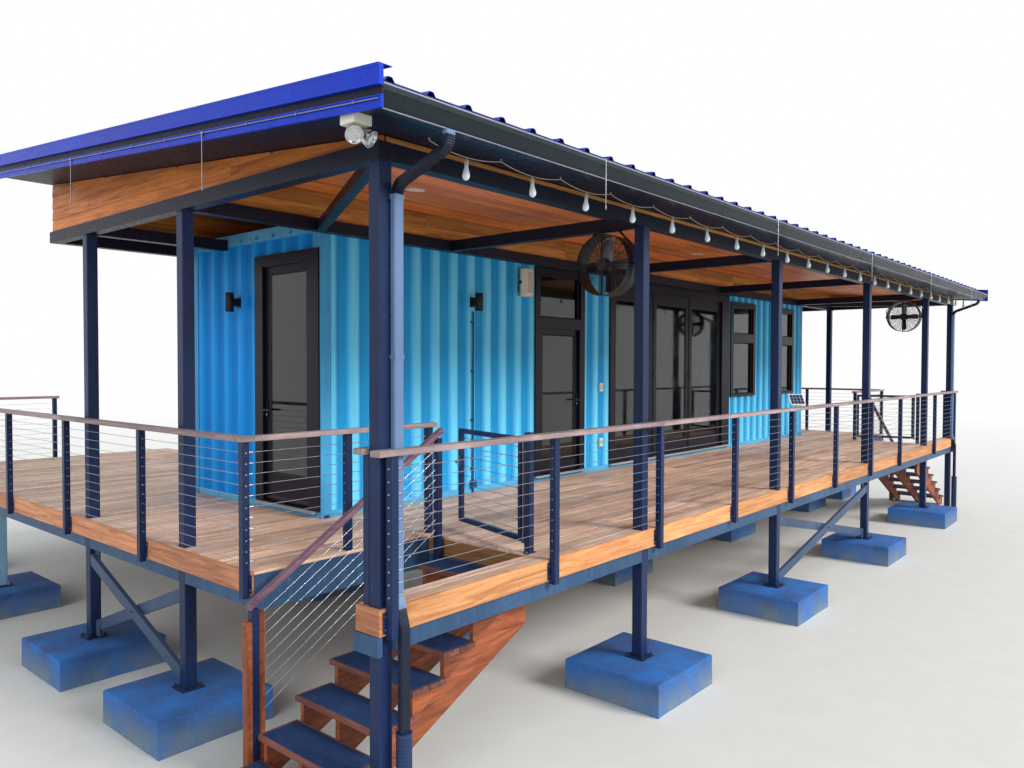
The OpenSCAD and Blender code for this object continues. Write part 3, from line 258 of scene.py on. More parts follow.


# Looks, with colours read off the photograph: the main one, a darker one, and where they differ
# from the functions' own, a paint's roughness, streaks and pale mottle (part dusting, part painted sheen) and
# a timber's grain, wear and so on
PAINTS = {
    "piers": ((142, 182, 204), (96, 138, 166), 0.45, 0.5),
    "porch_posts": ((27, 44, 82), (14, 22, 46), 0.32, 0.4, (72, 86, 114)),
    "beams": ((52, 84, 118), (26, 42, 68), 0.4, 0.5, (118, 142, 164)),
    "brace": ((68, 86, 114), (34, 44, 66), 0.42, 0.5),
    "girder": ((26, 28, 46), (12, 13, 24), 0.4, 0.4, (60, 64, 84)),
    "castings": ((70, 158, 206), (30, 112, 168), 0.42, 0.6),
    "lid": ((190, 186, 176), (150, 148, 142), 0.6, 0.2),
    "frames": ((22, 21, 34), (11, 11, 19), 0.34, 0.3, (44, 44, 58)),
    "seal": ((22, 22, 24), (10, 10, 12), 0.7, 0.2),
    "sill": ((168, 172, 176), (112, 116, 124), 0.4, 0.5),
    "fittings": ((30, 31, 38), (15, 16, 20), 0.4, 0.2),
    # The conduit has the wall's paint; its darker blue is painted shade.
    "conduit": ((20, 78, 122), (12, 52, 88), 0.45, 0.3),
    "speaker": ((222, 218, 204), (184, 180, 166), 0.5, 0.2),
    "speaker_dark": ((188, 184, 172), (150, 146, 136), 0.5, 0.1),
    "lens": ((238, 232, 214), (214, 204, 180), 0.25, 0.1),
    "bulb": ((226, 232, 238), (198, 206, 216), 0.1, 0.05),
    "cell": ((22, 40, 84), (12, 22, 52), 0.15, 0.2),
    "roof": ((6, 48, 160), (4, 28, 108), 0.34, 0.3),
    "rake": ((3, 52, 190), (2, 30, 122), 0.34, 0.3),
    # Near-black strip under the rake's cap trim: mostly painted shade from the cap's overhang.
    "shaded_recess": ((16, 20, 40), (8, 10, 22), 0.5, 0.2),
    "purlin": ((30, 44, 84), (14, 20, 44), 0.4, 0.3),
    "soffit": ((14, 22, 48), (8, 12, 28), 0.45, 0.3),
    "gutter": ((28, 40, 44), (14, 22, 30), 0.35, 0.4, (52, 66, 70)),
    # Pale lilac strips on the gutter's hem and bottom bend: painted highlights.
    "lip": ((150, 146, 170), (96, 96, 120), 0.35, 0.3),
    # Pale lilac on the outlets and straight pipes: painted highlight, standing for the lit faces of the dark
    # downspout.
    "spout_lit": ((104, 130, 164), (70, 86, 122), 0.36, 0.4),
    "spout_dark": ((28, 34, 54), (14, 17, 30), 0.25, 0.3, (112, 120, 146)),
    "drain": ((40, 56, 92), (22, 28, 46), 0.35, 0.2),
    "fan_drum": ((40, 38, 44), (22, 20, 26), 0.34, 0.3, (92, 88, 90)),
    "fan_steel": ((34, 30, 36), (18, 16, 20), 0.36, 0.3),
    "treads": ((38, 62, 106), (20, 32, 60), 0.7, 0.4, (96, 118, 150)),
}
CAP_WORN = (200, 180, 176)
TIMBERS = {
    "joists": dict(light=(176, 128, 84), dark=(120, 80, 48), along="y"),
    "deck": dict(light=(236, 200, 172), dark=(172, 130, 110), along="x", worn=(238, 222, 212)),
    "fascia": dict(light=(226, 166, 112), dark=(172, 108, 64), along="x"),
    "fascia_y": dict(light=(212, 148, 108), dark=(156, 98, 68), along="y"),
    "floor": dict(light=(166, 132, 92), dark=(112, 82, 54), along="x", plank=False),
    "cedar": dict(light=(252, 152, 80), dark=(202, 98, 42), along="x", rough=0.4),
    "gable": dict(light=(214, 130, 58), dark=(160, 80, 30), along="y", rough=0.45),
    "strip": dict(light=(196, 140, 72), dark=(150, 96, 44), along="x"),
    "caps": dict(light=(164, 142, 142), dark=(116, 98, 104), along="x", worn=CAP_WORN),
    "caps_y": dict(light=(164, 142, 142), dark=(116, 98, 104), along="y", worn=CAP_WORN),
    "hand": dict(light=(126, 94, 106), dark=(86, 62, 84), along="x", plank=False, fine=0.7),
    "strings": dict(light=(164, 90, 54), dark=(106, 54, 36), along="x"),
    "strings_y": dict(light=(130, 82, 70), dark=(84, 50, 48), along="y"),
}
METALS = {
    "mist": ((150, 150, 156), 0.35), "cable": ((178, 182, 192), 0.28), "bolts": ((120, 116, 112), 0.4),
    "bolts_bright": ((196, 200, 206), 0.3), "fan_wire": ((70, 68, 72), 0.35),
    "fan_blade": ((112, 114, 120), 0.36, 60), "lens_grey": ((206, 208, 210), 0.25, 40),
}
LOOKS = {
    "footings": concrete("footings", (24, 98, 174), (14, 60, 122), (112, 128, 134)),
    "glass": clear("glass", (150, 164, 160)),
    # A wall's last colour is a painted highlight on the corrugations' outer faces.
    "front_wall": wall_paint("front_wall", (34, 158, 220), (22, 130, 194), (112, 214, 252), "Y"),
    # The end walls' darker blue is painted shade: the same paint as the front wall, matched on an end in
    # shade.
    "end_wall_shaded": wall_paint("end_wall_shaded", (4, 128, 210), (3, 104, 182), (16, 150, 230), "X"),
    "rails": wall_paint("rails", (96, 172, 210), (52, 128, 178)),
}
LOOKS.update({name: paint(name, *row) for name, row in PAINTS.items()})
LOOKS.update({name: timber(name, **row) for name, row in TIMBERS.items()})
LOOKS.update({name: metal(name, *row) for name, row in METALS.items()})

# The CAD nodes that show, by look. Pieces of this script stand for the others.
WEARS = {
    "beams": ("deck_beams", "deck_cross_beams"), "joists": ("deck_joists",), "strings": ("stair_strings",),
    "front_wall": ("front_wall", "back_wall"), "end_wall_shaded": ("left_end_wall", "right_end_wall"),
    "rails": ("container_rails",), "castings": ("corner_posts",), "floor": ("container_floor",),
    "lid": ("container_roof",), "glass": ("end_door_glass", "entry_door_glass", "fixed_glass"),
    "frames": ("end_door_frame", "end_door", "entry_door_frame", "entry_door", "patio_doors", "side_windows"),
    "girder": ("roof_girders", "roof_cross_beams"), "roof": ("roof_sheet",),
}


def dress_nodes():
    for look, nodes in WEARS.items():
        for node in nodes:
            materials = NODES[node].data.materials
            materials.clear()
            materials.append(LOOKS[look])


# Studio
def seen(tree):
    """1 for what the camera sees, straight, mirrored or through glass."""
    paths = tree.nodes.new("ShaderNodeLightPath")
    out = paths.outputs["Is Camera Ray"]
    for name in ("Is Glossy Ray", "Is Transmission Ray"):
        either = tree.nodes.new("ShaderNodeMath")
        either.operation = "MAXIMUM"
        tree.links.new(out, either.inputs[0])
        tree.links.new(paths.outputs[name], either.inputs[1])
        out = either.outputs[0]
    return out


def make_floor(half=150, fade_from=14, fade_to=40):
    """A pale floor that keeps the object's shadow and fades into the white background far out."""
    mesh = bpy.data.meshes.new("floor")
    corners = [(-half, -half, 0), (half, -half, 0), (half, half, 0), (-half, half, 0)]
    mesh.from_pydata(corners, [], [(0, 1, 2, 3)])
    floor = bpy.data.objects.new("floor", mesh)
    floor.location = (0, 0, -0.001)
    bpy.context.scene.collection.objects.link(floor)
    k = Look("floor_paint")
    away = k.node("ShaderNodeVectorMath", {0: k.object_place()}, operation="LENGTH").outputs["Value"]
    fine = k.noise(k.place(), 3, 4)
    k.done(k.mix(k.band(fine, 0.3, 0.7), srgb((212, 212, 209)), srgb((207, 207, 204))), 0.8)
    glow = k.node("ShaderNodeEmission", {"Color": (1, 1, 1, 1), "Strength": 1.0})
    fade = k.times(k.band(away, fade_from, fade_to), seen(k.tree))
    blend = k.node("ShaderNodeMixShader", {0: fade, 1: k.shader.outputs[0], 2: glow.outputs[0]})
    k.put(k.tree.nodes["Material Output"].inputs["Surface"], blend.outputs[0])
    mesh.materials.append(k.mat)


def make_world(ambient, tint):
    world = bpy.data.worlds.new("studio")
    bpy.context.scene.world = world
    world.use_nodes = True
    tree = world.node_tree
    soft, white = tree.nodes["Background"], tree.nodes.new("ShaderNodeBackground")
    for node, colour, strength in ((soft, tint, ambient), (white, (1, 1, 1, 1), 1.0)):
        node.inputs["Color"].default_value = colour
        node.inputs["Strength"].default_value = strength
    blend = tree.nodes.new("ShaderNodeMixShader")
    for i, out in enumerate((seen(tree), soft.outputs[0], white.outputs[0])):
        tree.links.new(out, blend.inputs[i])
    tree.links.new(blend.outputs[0], tree.nodes["World Output"].inputs["Surface"])


def sun(name, azimuth, elevation, strength, spread, colour=(1, 1, 1)):
    """A soft lamp shining from an azimuth (0 is the front, 90 the right) and an elevation."""
    lamp = bpy.data.lights.new(name, "SUN")
    lamp.energy, lamp.angle, lamp.color = strength, math.radians(spread), colour
    obj = bpy.data.objects.new(name, lamp)
    a, e = math.radians(azimuth), math.radians(elevation)
    source = Vector((math.sin(a) * math.cos(e), -math.cos(a) * math.cos(e), math.sin(e)))
    obj.rotation_euler = source.to_track_quat("Z", "Y").to_euler()
    bpy.context.scene.collection.objects.link(obj)


def make_studio():
    make_floor()
    make_world(0.7, (0.9, 0.96, 1.0, 1))
    sun("key", 15, 30, 3.4, 22, (1.0, 0.98, 0.95))
    sun("fill", -70, 22, 1.2, 40)
    bpy.context.scene.view_settings.view_transform = "Standard"


def keep_sizes():
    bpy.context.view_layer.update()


# Making pieces
SQUARE = ((-1, -1), (1, -1), (1, 1), (-1, 1))


class Kit:
    """Collects closed solids in site millimetres and makes one piece of them."""

    def __init__(self):
        self.points, self.faces = [], []

    def add(self, points, faces):
        """Adds one closed solid and turns its faces outward."""
        own = [Vector(p) - Vector(points[0]) for p in points]
        volume = sum(own[f[0]].dot(own[f[i]].cross(own[f[i + 1]]))
                     for f in faces for i in range(1, len(f) - 1))
        base = len(self.points)
        self.points += [tuple(p) for p in points]
        self.faces += [tuple(base + i for i in (f if volume > 0 else reversed(f))) for f in faces]

    def prism(self, outline, axis, low, high):
        """An outline in the plane across an axis, swept from low to high along it."""
        def put(u, v, w):
            return {"x": (w, u, v), "y": (u, w, v), "z": (u, v, w)}[axis]
        self.rings([[put(u, v, w) for u, v in outline] for w in (low, high)])

    def box(self, a, b):
        """A box between any two opposite corners."""
        self.prism([(a[0], a[1]), (b[0], a[1]), (b[0], b[1]), (a[0], b[1])], "z", a[2], b[2])

    def stub(self, x, y, half, low, high):
        """An upright box about a place."""
        self.box((x - half, y - half, low), (x + half, y + half, high))

    def rings(self, rings, closed=False):
        """A skin over rings of equally many points, capped at both ends unless it is closed."""
        n, m = len(rings[0]), len(rings)
        faces = []
        for i in range(m if closed else m - 1):
            a, b = i * n, ((i + 1) % m) * n
            faces += [(a + j, a + (j + 1) % n, b + (j + 1) % n, b + j) for j in range(n)]
        if not closed:
            faces += [tuple(range(n - 1, -1, -1)), tuple(range((m - 1) * n, m * n))]
        self.add([p for ring in rings for p in ring], faces)

    def tube(self, path, radius, sides=8, closed=False):
        """A round bar along a path."""
        path = [Vector(p) for p in path]
        n = len(path)
        rings, side = [], None
        for i, p in enumerate(path):
            before = path[i - 1] if i or closed else p
            after = path[(i + 1) % n] if i < n - 1 or closed else p
            ahead = (after - before).normalized()
            if side is None:
                side = ahead.orthogonal().normalized()
            side = (side - ahead * side.dot(ahead)).normalized()
            rings.append(circle(p, radius, side, ahead.cross(side), sides))
        self.rings(rings, closed)

    def rod(self, a, b, radius, sides=8):
        self.tube([a, b], radius, sides)

    def lathe(self, base, axis, profile, sides=24):
        """Radius and height pairs turned about an axis through base."""
        axis = Vector(axis).normalized()
        side = axis.orthogonal().normalized()
        across = axis.cross(side)
        self.rings([circle(Vector(base) + h * axis, max(r, 0.01), side, across, sides) for r, h in profile])

    def merge(self, kit):
        base = len(self.points)
        self.points += kit.points
        self.faces += [tuple(base + i for i in f) for f in kit.faces]

    def twin(self):
        kit = Kit()
        kit.points = [(other(x), y, z) for x, y, z in self.points]
        kit.faces = [tuple(reversed(f)) for f in self.faces]
        return kit

    def mirror(self):
        self.merge(self.twin())

    def move(self, place):
        self.points = [place(*p) for p in self.points]

    def piece(self, name, look, slot, node=None, bevel=0.0, smooth=None, body=ROOT):
        """Makes the piece, which stands for a CAD node where one is named."""
        mesh = bpy.data.meshes.new(name)
        mesh.from_pydata([at(*p) for p in self.points], [], self.faces)
        mesh.validate()
        if smooth is not None:
            mesh.polygons.foreach_set("use_smooth", [True] * len(mesh.polygons))
            mesh.set_sharp_from_angle(angle=math.radians(smooth))
        obj = bpy.data.objects.new(name, mesh)
        bpy.context.scene.collection.objects.link(obj)
        mesh.materials.append(LOOKS[look])
        if bevel:
            m = obj.modifiers.new("edges", "BEVEL")
            m.width, m.segments, m.limit_method, m.angle_limit = bevel / 1000, 2, "ANGLE", math.radians(40)
        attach(obj, body)
        if node:
            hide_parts(node)


def turns(count, first=0):
    """Angles that part a circle, the first one some share of a step in."""
    return [TURN * (j + first) / count for j in range(count)]


def circle(middle, radius, u, v, sides):
    return [middle + radius * (math.cos(t) * u + math.sin(t) * v) for t in turns(sides)]


def kits(count):
    return [Kit() for _ in range(count)]


def chance(name):
    """A seeded source of random numbers for one piece."""
    return random.Random(name)


def steps(low, high, step):
    return [low + i * step for i in range(int(math.floor((high - low) / step + 1e-6)) + 1)]


def spans(cuts):
    return list(zip(cuts, cuts[1:]))


def along_x(u, v, w):
    return (u, v, w)


def along_y(u, v, w):
    return (v, u, w)


# Sizes repeated from the source, in site millimetres
LEFT_X, RIGHT_X, FRONT_Y = -1390, 13452, -2530
POST, HALF, CLEAR = 100, 50, 0.3
INNER_POSTS = (1600, 4620, 8050, 11500)
POSTS_X = (LEFT_X, *INNER_POSTS, RIGHT_X)
SIDE_POSTS_Y = (-135, 1712)
FRONT_POSTS = [(x, FRONT_Y) for x in POSTS_X]
SIDE_POSTS = [(x, y) for x in (LEFT_X, RIGHT_X) for y in SIDE_POSTS_Y]
DECK_LEFT, DECK_RIGHT, DECK_FRONT = LEFT_X - 80, RIGHT_X + 80, FRONT_Y - HALF
FASCIA_T, BOARD_T, JOIST_LOW, JOIST_STEP, BEAM_LOW = 25, 25, -165, 406, -285
FASCIA_FRONT = DECK_FRONT - FASCIA_T
REAR_EDGE, REAR_X, STAIR_FAR, STAIR_TOP_X = 7200, 2000, 1250, 220
STAIR_NEAR, SEAM_X = DECK_FRONT + 200, STAIR_TOP_X + 19
GIRDER_LOW, GIRDER_TOP, BACK_GIRDER_Y = 2690, 2800, 2528
ROOF_LEFT, ROOF_RIGHT, ROOF_FRONT, ROOF_BACK = LEFT_X - 460, RIGHT_X + 460, FRONT_Y - 450, 2650
SLOPE, SOFFIT_LOW = math.tan(math.radians(5)), 2840
RISE, GOING, RISERS = DECK / 8, 295, 8
FOOT_X = STAIR_TOP_X - (RISERS - 2) * GOING - 30

# Small turned profiles, as pairs of a radius and a height
SCREW = ((5, -1), (5, 0.6), (3, 1.2), (0.1, 1.2))
CABLE_NUT = ((6.5, -1), (6.5, 2), (4.5, 4.5), (0.1, 5))
CABLE_COLLAR = ((5, -1), (5, 1), (3.4, 1.6), (0.1, 1.7))
BASE_NUT = ((8, -1), (8, 5), (6, 6.5), (0.1, 6.5))
ANCHOR = ((15, 0), (15, 3), (11, 3), (11, 12), (6, 12.5), (6, 26), (0.1, 27))
ROOF_SCREW = ((9, -0.5), (9, 1.5), (6, 2), (6, 6), (4.5, 7), (0.1, 7))
MIST_NOZZLE = ((5, 0), (6, 6), (6, 16), (3, 24), (0.1, 25))


def soffit(y):
    return SOFFIT_LOW + (y - FRONT_Y) * SLOPE


def under_roof(z):
    """How far back the roof's underside has risen to a height."""
    return FRONT_Y + (z - SOFFIT_LOW) / SLOPE


def nosing(x):
    return (x - STAIR_TOP_X) * RISE / GOING


# Deck
BOARD_PITCH, BOARD_WIDE, BOARD_TOP, BOX_GAP = 145, 140, -0.8, 12


def board_row(kit, rng, x0, x1, y0, y1, z0, z1, holes=(), joint=JOIST_STEP, gap=3):
    """One row of boards along x, butted on the joists and cut round holes (x low, x high, y low, y high)."""
    holes = [h for h in holes if h[2] < y1 and h[3] > y0 and h[0] < x1 and h[1] > x0]
    for hx0, hx1, hy0, hy1 in holes:
        for a, b in ((y0, hy0), (hy1, y1)):
            if b - a > 12:
                kit.box((max(hx0, x0) + 1, a, z0), (min(hx1, x1) - 1, b, z1))
    runs, start = [], x0
    for a, b in sorted((h[0], h[1]) for h in holes) + [(x1, x1)]:
        if a - start > 20:
            runs.append((start, a))
        start = max(start, b)
    for here, b in runs:
        while here < b - 1:
            end = here + rng.choice((6, 7, 8, 9)) * joint
            if end > b - joint:
                end = b
            lift = rng.uniform(-0.8, 0.8)
            near, far = y0 + rng.uniform(0, 0.8), y1 - rng.uniform(0, 0.8)
            kit.box((here, near, z0), (end - (gap if end < b else 0), far, z1 + lift))
            here = end


def make_deck():
    front, sides, rear = kits(3)
    rng = chance("deck boards")
    out = POST / 2 + 4
    holes = [(x - out, x + out, y - out, y + out) for x, y in FRONT_POSTS + SIDE_POSTS]

    def row(kit, x0, x1, y0, y1):
        board_row(kit, rng, x0, x1, y0, y1, -BOARD_T, BOARD_TOP, holes)

    first = DECK_FRONT + 104
    rows = [(DECK_FRONT, first - 4)]
    rows += [(y, min(y + BOARD_WIDE, REAR_EDGE)) for y in steps(first, REAR_EDGE - 30, BOARD_PITCH)]
    for y0, y1 in rows:
        if y0 < -BOX_GAP:
            far = min(y1, -BOX_GAP)
            inner = SEAM_X + 5 if y1 > -STAIR_FAR else STAIR_TOP_X
            row(front, inner, other(inner), y0, far)
            if y1 > -STAIR_FAR + 20:
                low = max(y0, -STAIR_FAR)
                row(sides, DECK_LEFT, SEAM_X, low, far)
                row(sides, other(SEAM_X), DECK_RIGHT, low, far)
            elif y0 < STAIR_NEAR - 30:
                far = min(y1, STAIR_NEAR)
                row(sides, LEFT_X - HALF, STAIR_TOP_X - 1, y0, far)
                row(sides, other(STAIR_TOP_X - 1), RIGHT_X + HALF, y0, far)
        if y1 > -BOX_GAP:
            low = max(y0, -10)
            if y0 < BOX_W:
                row(sides, DECK_LEFT, -BOX_GAP, low, y1)
                row(sides, BOX_L + BOX_GAP, DECK_RIGHT, low, min(y1, BOX_W))
            else:
                row(rear, DECK_LEFT, REAR_X, low + (14 if y0 < BOX_W + 14 else 0), y1)
    front.piece("deck_boards_front", "deck", "deck_wood", "front_deck", bevel=3)
    sides.piece("deck_boards_sides", "deck", "deck_wood", "side_decks", bevel=3)
    rear.piece("deck_boards_rear", "deck", "deck_wood", "rear_deck", bevel=3)


def post_row(low, high, step):
    return steps(low, high - step / 2, step) + [high]


RAIL_X0, RAIL_X1 = LEFT_X + 5, STAIR_TOP_X - 10
FRONT_RAIL = [RAIL_X0] + post_row(RAIL_X1, other(RAIL_X1), 1555) + [other(RAIL_X0)]
LEFT_RAIL = post_row(-STAIR_FAR + 40, REAR_EDGE - 100, 1600)
RIGHT_RAIL = post_row(-STAIR_FAR + 40, BOX_W - 100, 1600)


def make_fascia():
    """Fascia boards, butted behind the railing posts, with screws."""
    front, sides, screws, strip, ends = kits(5)
    rng = chance("fascia")

    def run(kit, place, cuts, inner, face):
        out = Vector(place(0, face - inner, 0))
        for a, b in spans(cuts):
            kit.box(place(a + 1, inner, JOIST_LOW), place(b - 1, face, rng.uniform(-1.5, 0)))
            for s in steps(a + 60, b - 50, JOIST_STEP):
                for z in (JOIST_LOW + 35, -35):
                    screws.lathe(place(s, face, z), out, SCREW, 8)

    left, right = LEFT_X - HALF, RIGHT_X + HALF
    cuts = [left] + [x for x in FRONT_RAIL if LEFT_X + 200 < x < RIGHT_X - 200] + [right]
    run(front, along_x, cuts, DECK_FRONT - 0.5, FASCIA_FRONT)
    front.box((DECK_LEFT, REAR_EDGE + 0.5, JOIST_LOW), (REAR_X, REAR_EDGE + FASCIA_T, 0))
    for row, last, edge, way in ((LEFT_RAIL, REAR_EDGE - 1, DECK_LEFT, -1),
                                 (RIGHT_RAIL, BOX_W, DECK_RIGHT, 1)):
        run(sides, along_y, [-STAIR_FAR] + row[1:-1] + [last], edge + way * 0.5, edge + way * FASCIA_T)
    strip.box((LEFT_X + HALF, STAIR_NEAR - FASCIA_T, JOIST_LOW), (STAIR_TOP_X - 1, STAIR_NEAR, -BOARD_T))
    ends.box((left - FASCIA_T, FASCIA_FRONT, JOIST_LOW), (left - 0.5, STAIR_NEAR, 0))
    for kit, into in ((strip, front), (ends, sides)):
        kit.mirror()
        into.merge(kit)
    front.piece("fascia_front", "fascia", "fascia_wood", "deck_fascia", bevel=3)
    sides.piece("fascia_sides", "fascia_y", "fascia_wood", "deck_fascia", bevel=3)
    screws.piece("fascia_screws", "bolts", "black_steel", smooth=40)


# Railings
RAIL_POST, CAP_T, CAP_WID, RAIL_HIGH, CABLES, WIRE_R = 55, 38, 90, 960, 11, 2.4
CAP_LOW, POST_LOW, LOWEST = RAIL_HIGH - CAP_T, -BOARD_T - 160, 70
CABLE_LEVELS = [LOWEST + k * (CAP_LOW - LOWEST) / CABLES for k in range(CABLES)]
FRONT_RAIL_Y = FASCIA_FRONT - RAIL_POST / 2
LEFT_RAIL_X = DECK_LEFT - FASCIA_T - RAIL_POST / 2
WELL_RAIL_Y = 40 - STAIR_FAR
GUARD_Y = -STAIR_FAR - RAIL_POST / 2 - 145
REAR_RAIL_Y = REAR_EDGE + FASCIA_T + RAIL_POST / 2
GATE_LOW, GATE_HIGH, GATE_LEN, GATE_BAR = 80, CAP_LOW - 20, 1000, 40
HINGE, GATE_TURN, LOCK_Z = (STAIR_TOP_X + 30, STAIR_NEAR + 90), math.radians(-16), 610
HAND_LOW, HAND_T = 900, 45.6


def rail_panel(steel, wires, ends, posts, place, bottom=POST_LOW, outside=1, start=None):
    """Posts with brackets and bolts, and cables through them with a fitting at either end.
    place turns (along, across, up) into a point. Cables that come from another railing's
    post have a start of their own."""
    r, last = RAIL_POST / 2, len(posts) - 1

    def head(s, way, z, profile, sides):
        out = Vector(place(way, 0, 0)) - Vector(place(0, 0, 0))
        ends.lathe(place(s + way * r, 0, z), out, profile, sides)

    def fitting(s, way, z):
        for near, far, radius, sides in ((0, 42, 4.4, 8), (40, 58, 3.6, 6)):
            ends.rod(place(s + way * near, 0, z), place(s + way * far, 0, z), radius, sides)

    for i, s in enumerate(posts):
        steel.box(place(s - r, -r, bottom), place(s + r, r, CAP_LOW))
        steel.box(place(s - 38, -r + 4, CAP_LOW - 5), place(s + 38, r - 4, CAP_LOW - 0.5))
        if bottom < 0:
            side = outside * (r - 6)
            steel.box(place(s - r - 26, outside * (r - 0.5), -150), place(s - r + 2, side, -20))
            for z in (-125, -45):
                ends.rod(place(s - r - 13, side, z), place(s - r - 13, outside * (r - 13), z), 7, 6)
        for z in CABLE_LEVELS:
            if i == last or i == 0 and start is None:
                out = -1 if i == 0 else 1
                head(s, out, z, CABLE_NUT, 10)
                fitting(s - out * r, -out, z)
            else:
                for out in (-1, 1):
                    head(s, out, z, CABLE_COLLAR, 8)
    for z in CABLE_LEVELS:
        wires.rod(place(posts[0] if start is None else start, 0, z), place(posts[-1], 0, z), WIRE_R, 8)
        if start is not None:
            fitting(start, 1, z)


def guard(steel, wires, ends):
    """The posts and sloped cables beside a flight of steps."""
    r, y, top_x = RAIL_POST / 2, GUARD_Y, STAIR_TOP_X - 60
    for x, low in ((FOOT_X, -DECK), (top_x, nosing(STAIR_TOP_X) - 400)):
        steel.stub(x, y, r, low, nosing(x - r) + HAND_LOW - 1)
    for i in range(9):
        up = 123 + i * 85
        a, b = (Vector((x, y, nosing(x) + up)) for x in (FOOT_X, top_x))
        wires.rod(a, b, WIRE_R, 8)
        way = (b - a).normalized()
        for end, out in ((a, way), (b, -way)):
            ends.rod(end + out * (r + 4), end + out * (r + 52), 4.4, 8)
        ends.lathe((FOOT_X - r, y, nosing(FOOT_X - r) + up), (-1, 0, 0), CABLE_NUT, 10)


def gate_post(steel, ends):
    x, y, r = HINGE[0], HINGE[1] - 60, RAIL_POST / 2
    steel.stub(x, y, r, 0, GATE_HIGH + 40)
    steel.box((x - r - 22, y - r - 6, 0.5), (x + r + 22, y + r - 8, 8))
    for z in (GATE_LOW - CLEAR - 10, GATE_HIGH + CLEAR):
        steel.box((x - 12, y + r - 1, z), (x + 12, HINGE[1] + 12, z + 10))
    for out in (-r - 11, r + 11):
        ends.lathe((x + out, y - 8, 8), UP, BASE_NUT, 6)


def make_railings():
    whole, sides = kits(3), kits(3)
    rear = [DECK_LEFT + 60, (DECK_LEFT + 60 + STAIR_TOP_X) / 2, STAIR_TOP_X]
    for posts, outside, place in (
            (FRONT_RAIL, 1, lambda s, t, z: (s, FRONT_RAIL_Y + t, z)),
            (LEFT_RAIL, -1, lambda s, t, z: (LEFT_RAIL_X - t, s, z)),
            (RIGHT_RAIL, -1, lambda s, t, z: (other(LEFT_RAIL_X) + t, s, z)),
            (rear, 1, lambda s, t, z: (s, REAR_RAIL_Y - t, z))):
        rail_panel(*whole, posts, place, outside=outside)
    start, last = LEFT_RAIL_X + RAIL_POST / 2 + CLEAR, STAIR_TOP_X + 32
    rail_panel(*sides, [(start + last) / 2, last], lambda s, t, z: (s, WELL_RAIL_Y + t, z),
               bottom=0, start=start)
    x, y = LEFT_X - HALF, FRONT_Y + HALF
    sides[0].box((x, y + CLEAR, 0), (x + RAIL_POST, y + RAIL_POST, CAP_LOW))
    guard(*sides)
    gate_post(sides[0], sides[2])
    for kit, into in zip(sides, whole):
        kit.mirror()
        into.merge(kit)
    steel, wires, ends = whole
    steel.piece("railing_posts", "porch_posts", "black_steel", "railings", bevel=2.5)
    wires.piece("railing_cables", "cable", "black_steel", "railings", smooth=60)
    ends.piece("railing_fittings", "bolts_bright", "black_steel", smooth=40)


# Roof
CEILING_T, SHEET_TOP, PANEL_STEP, PANEL_WIDE, LAP_HIGH = 20, 177.5, 150, 147, 118
ROOF_DOWN = Vector((0, math.sin(math.atan(SLOPE)), -math.cos(math.atan(SLOPE))))


def lifted(x, y, z):
    """A place whose height counts from the roof's underside."""
    return (x, y, z + soffit(y))


def make_ceiling():
    """Cedar boards inside the girders and dark grooved panels under the overhangs."""
    cedar, dark = kits(2)
    rng = chance("ceiling")
    x0, x1, y0, y1 = LEFT_X, RIGHT_X, FRONT_Y, BACK_GIRDER_Y
    left, right = ROOF_LEFT + 2, ROOF_RIGHT - 2
    for y in steps(y0, y1 - 20, 98):
        board_row(cedar, rng, x0, x1, y + 1, min(y + 96, y1), 0.5, CEILING_T, joint=610, gap=1.5)
    for x in steps(left, ROOF_RIGHT - 40, PANEL_STEP):
        for near, far in ((ROOF_FRONT + 2, y0 - 1), (y1 + 1, ROOF_BACK - 2)):
            dark.box((x, near, 2), (min(x + PANEL_WIDE, right), far, CEILING_T))
    for y in steps(y0, y1 - 20, PANEL_STEP):
        for a, b in ((left, x0 - 1), (x1 + 1, right)):
            dark.box((a, y, 2), (b, min(y + PANEL_WIDE, y1), CEILING_T))
    cedar.move(lifted)
    dark.move(lifted)
    cedar.piece("ceiling_planks", "cedar", "cedar", "ceiling_boards", bevel=2)
    dark.piece("soffit_panels", "soffit", "gutter_dark", "ceiling_boards", bevel=2)


def lap_boards(kit, rng, x, face):
    """Lapped boards on one face of a panel. Each leans out at its foot, and the roof cuts its top."""
    back = BACK_GIRDER_Y + 50
    for i in range(5):
        low = GIRDER_TOP + i * LAP_HIGH
        top = low + LAP_HIGH + 12
        knee = under_roof(top + 3)
        if soffit(back) - low < 25:
            continue
        start = max(FRONT_Y - 50, under_roof(low + 22))
        joints = sorted(rng.uniform(start + 500, back - 500) for _ in range(2 if i < 2 else 1))
        for a, b in spans([start] + joints + [back]):
            if b - a < 60:
                continue
            b -= 2
            line = [(a, low), (b, low), (b, min(top, soffit(b) - 3))]
            if a < knee < b:
                line.append((knee, top))
            line.append((a, min(top, soffit(a) - 3)))
            kit.rings([[(x + face * (17 - 7 * (z - low) / LAP_HIGH + out), y, z) for y, z in line]
                       for out in (-5, 8)])


def make_gables():
    """The lapped boards over the side girders, and strips over the girders that run along."""
    laps, strips = kits(2)
    rng = chance("gables")
    for x, out in ((LEFT_X, -1), (RIGHT_X, 1)):
        for face in (out, -out):
            lap_boards(laps, rng, x, face)
    for y, near in ((FRONT_Y, -50), (SIDE_POSTS_Y[0], -20), (BACK_GIRDER_Y, -20)):
        for a, b in ((near, -2), (2, 20)):
            top = soffit(y + a) - 3
            joints = [x + rng.uniform(-20, 20) for x in steps(1200, 11500, 2440)]
            for x0, x1 in spans([LEFT_X + 22] + joints + [RIGHT_X - 22]):
                z = GIRDER_TOP
                while z < top - 8:
                    z1 = min(z + LAP_HIGH, top)
                    strips.box((x0 + 1, y + a, z), (x1 - 1, y + b, z1 - 1))
                    z = z1
    laps.piece("gable_lap_boards", "gable", "cedar", "gable_boards", bevel=2)
    strips.piece("gable_strips", "strip", "cedar", "gable_boards", bevel=2)


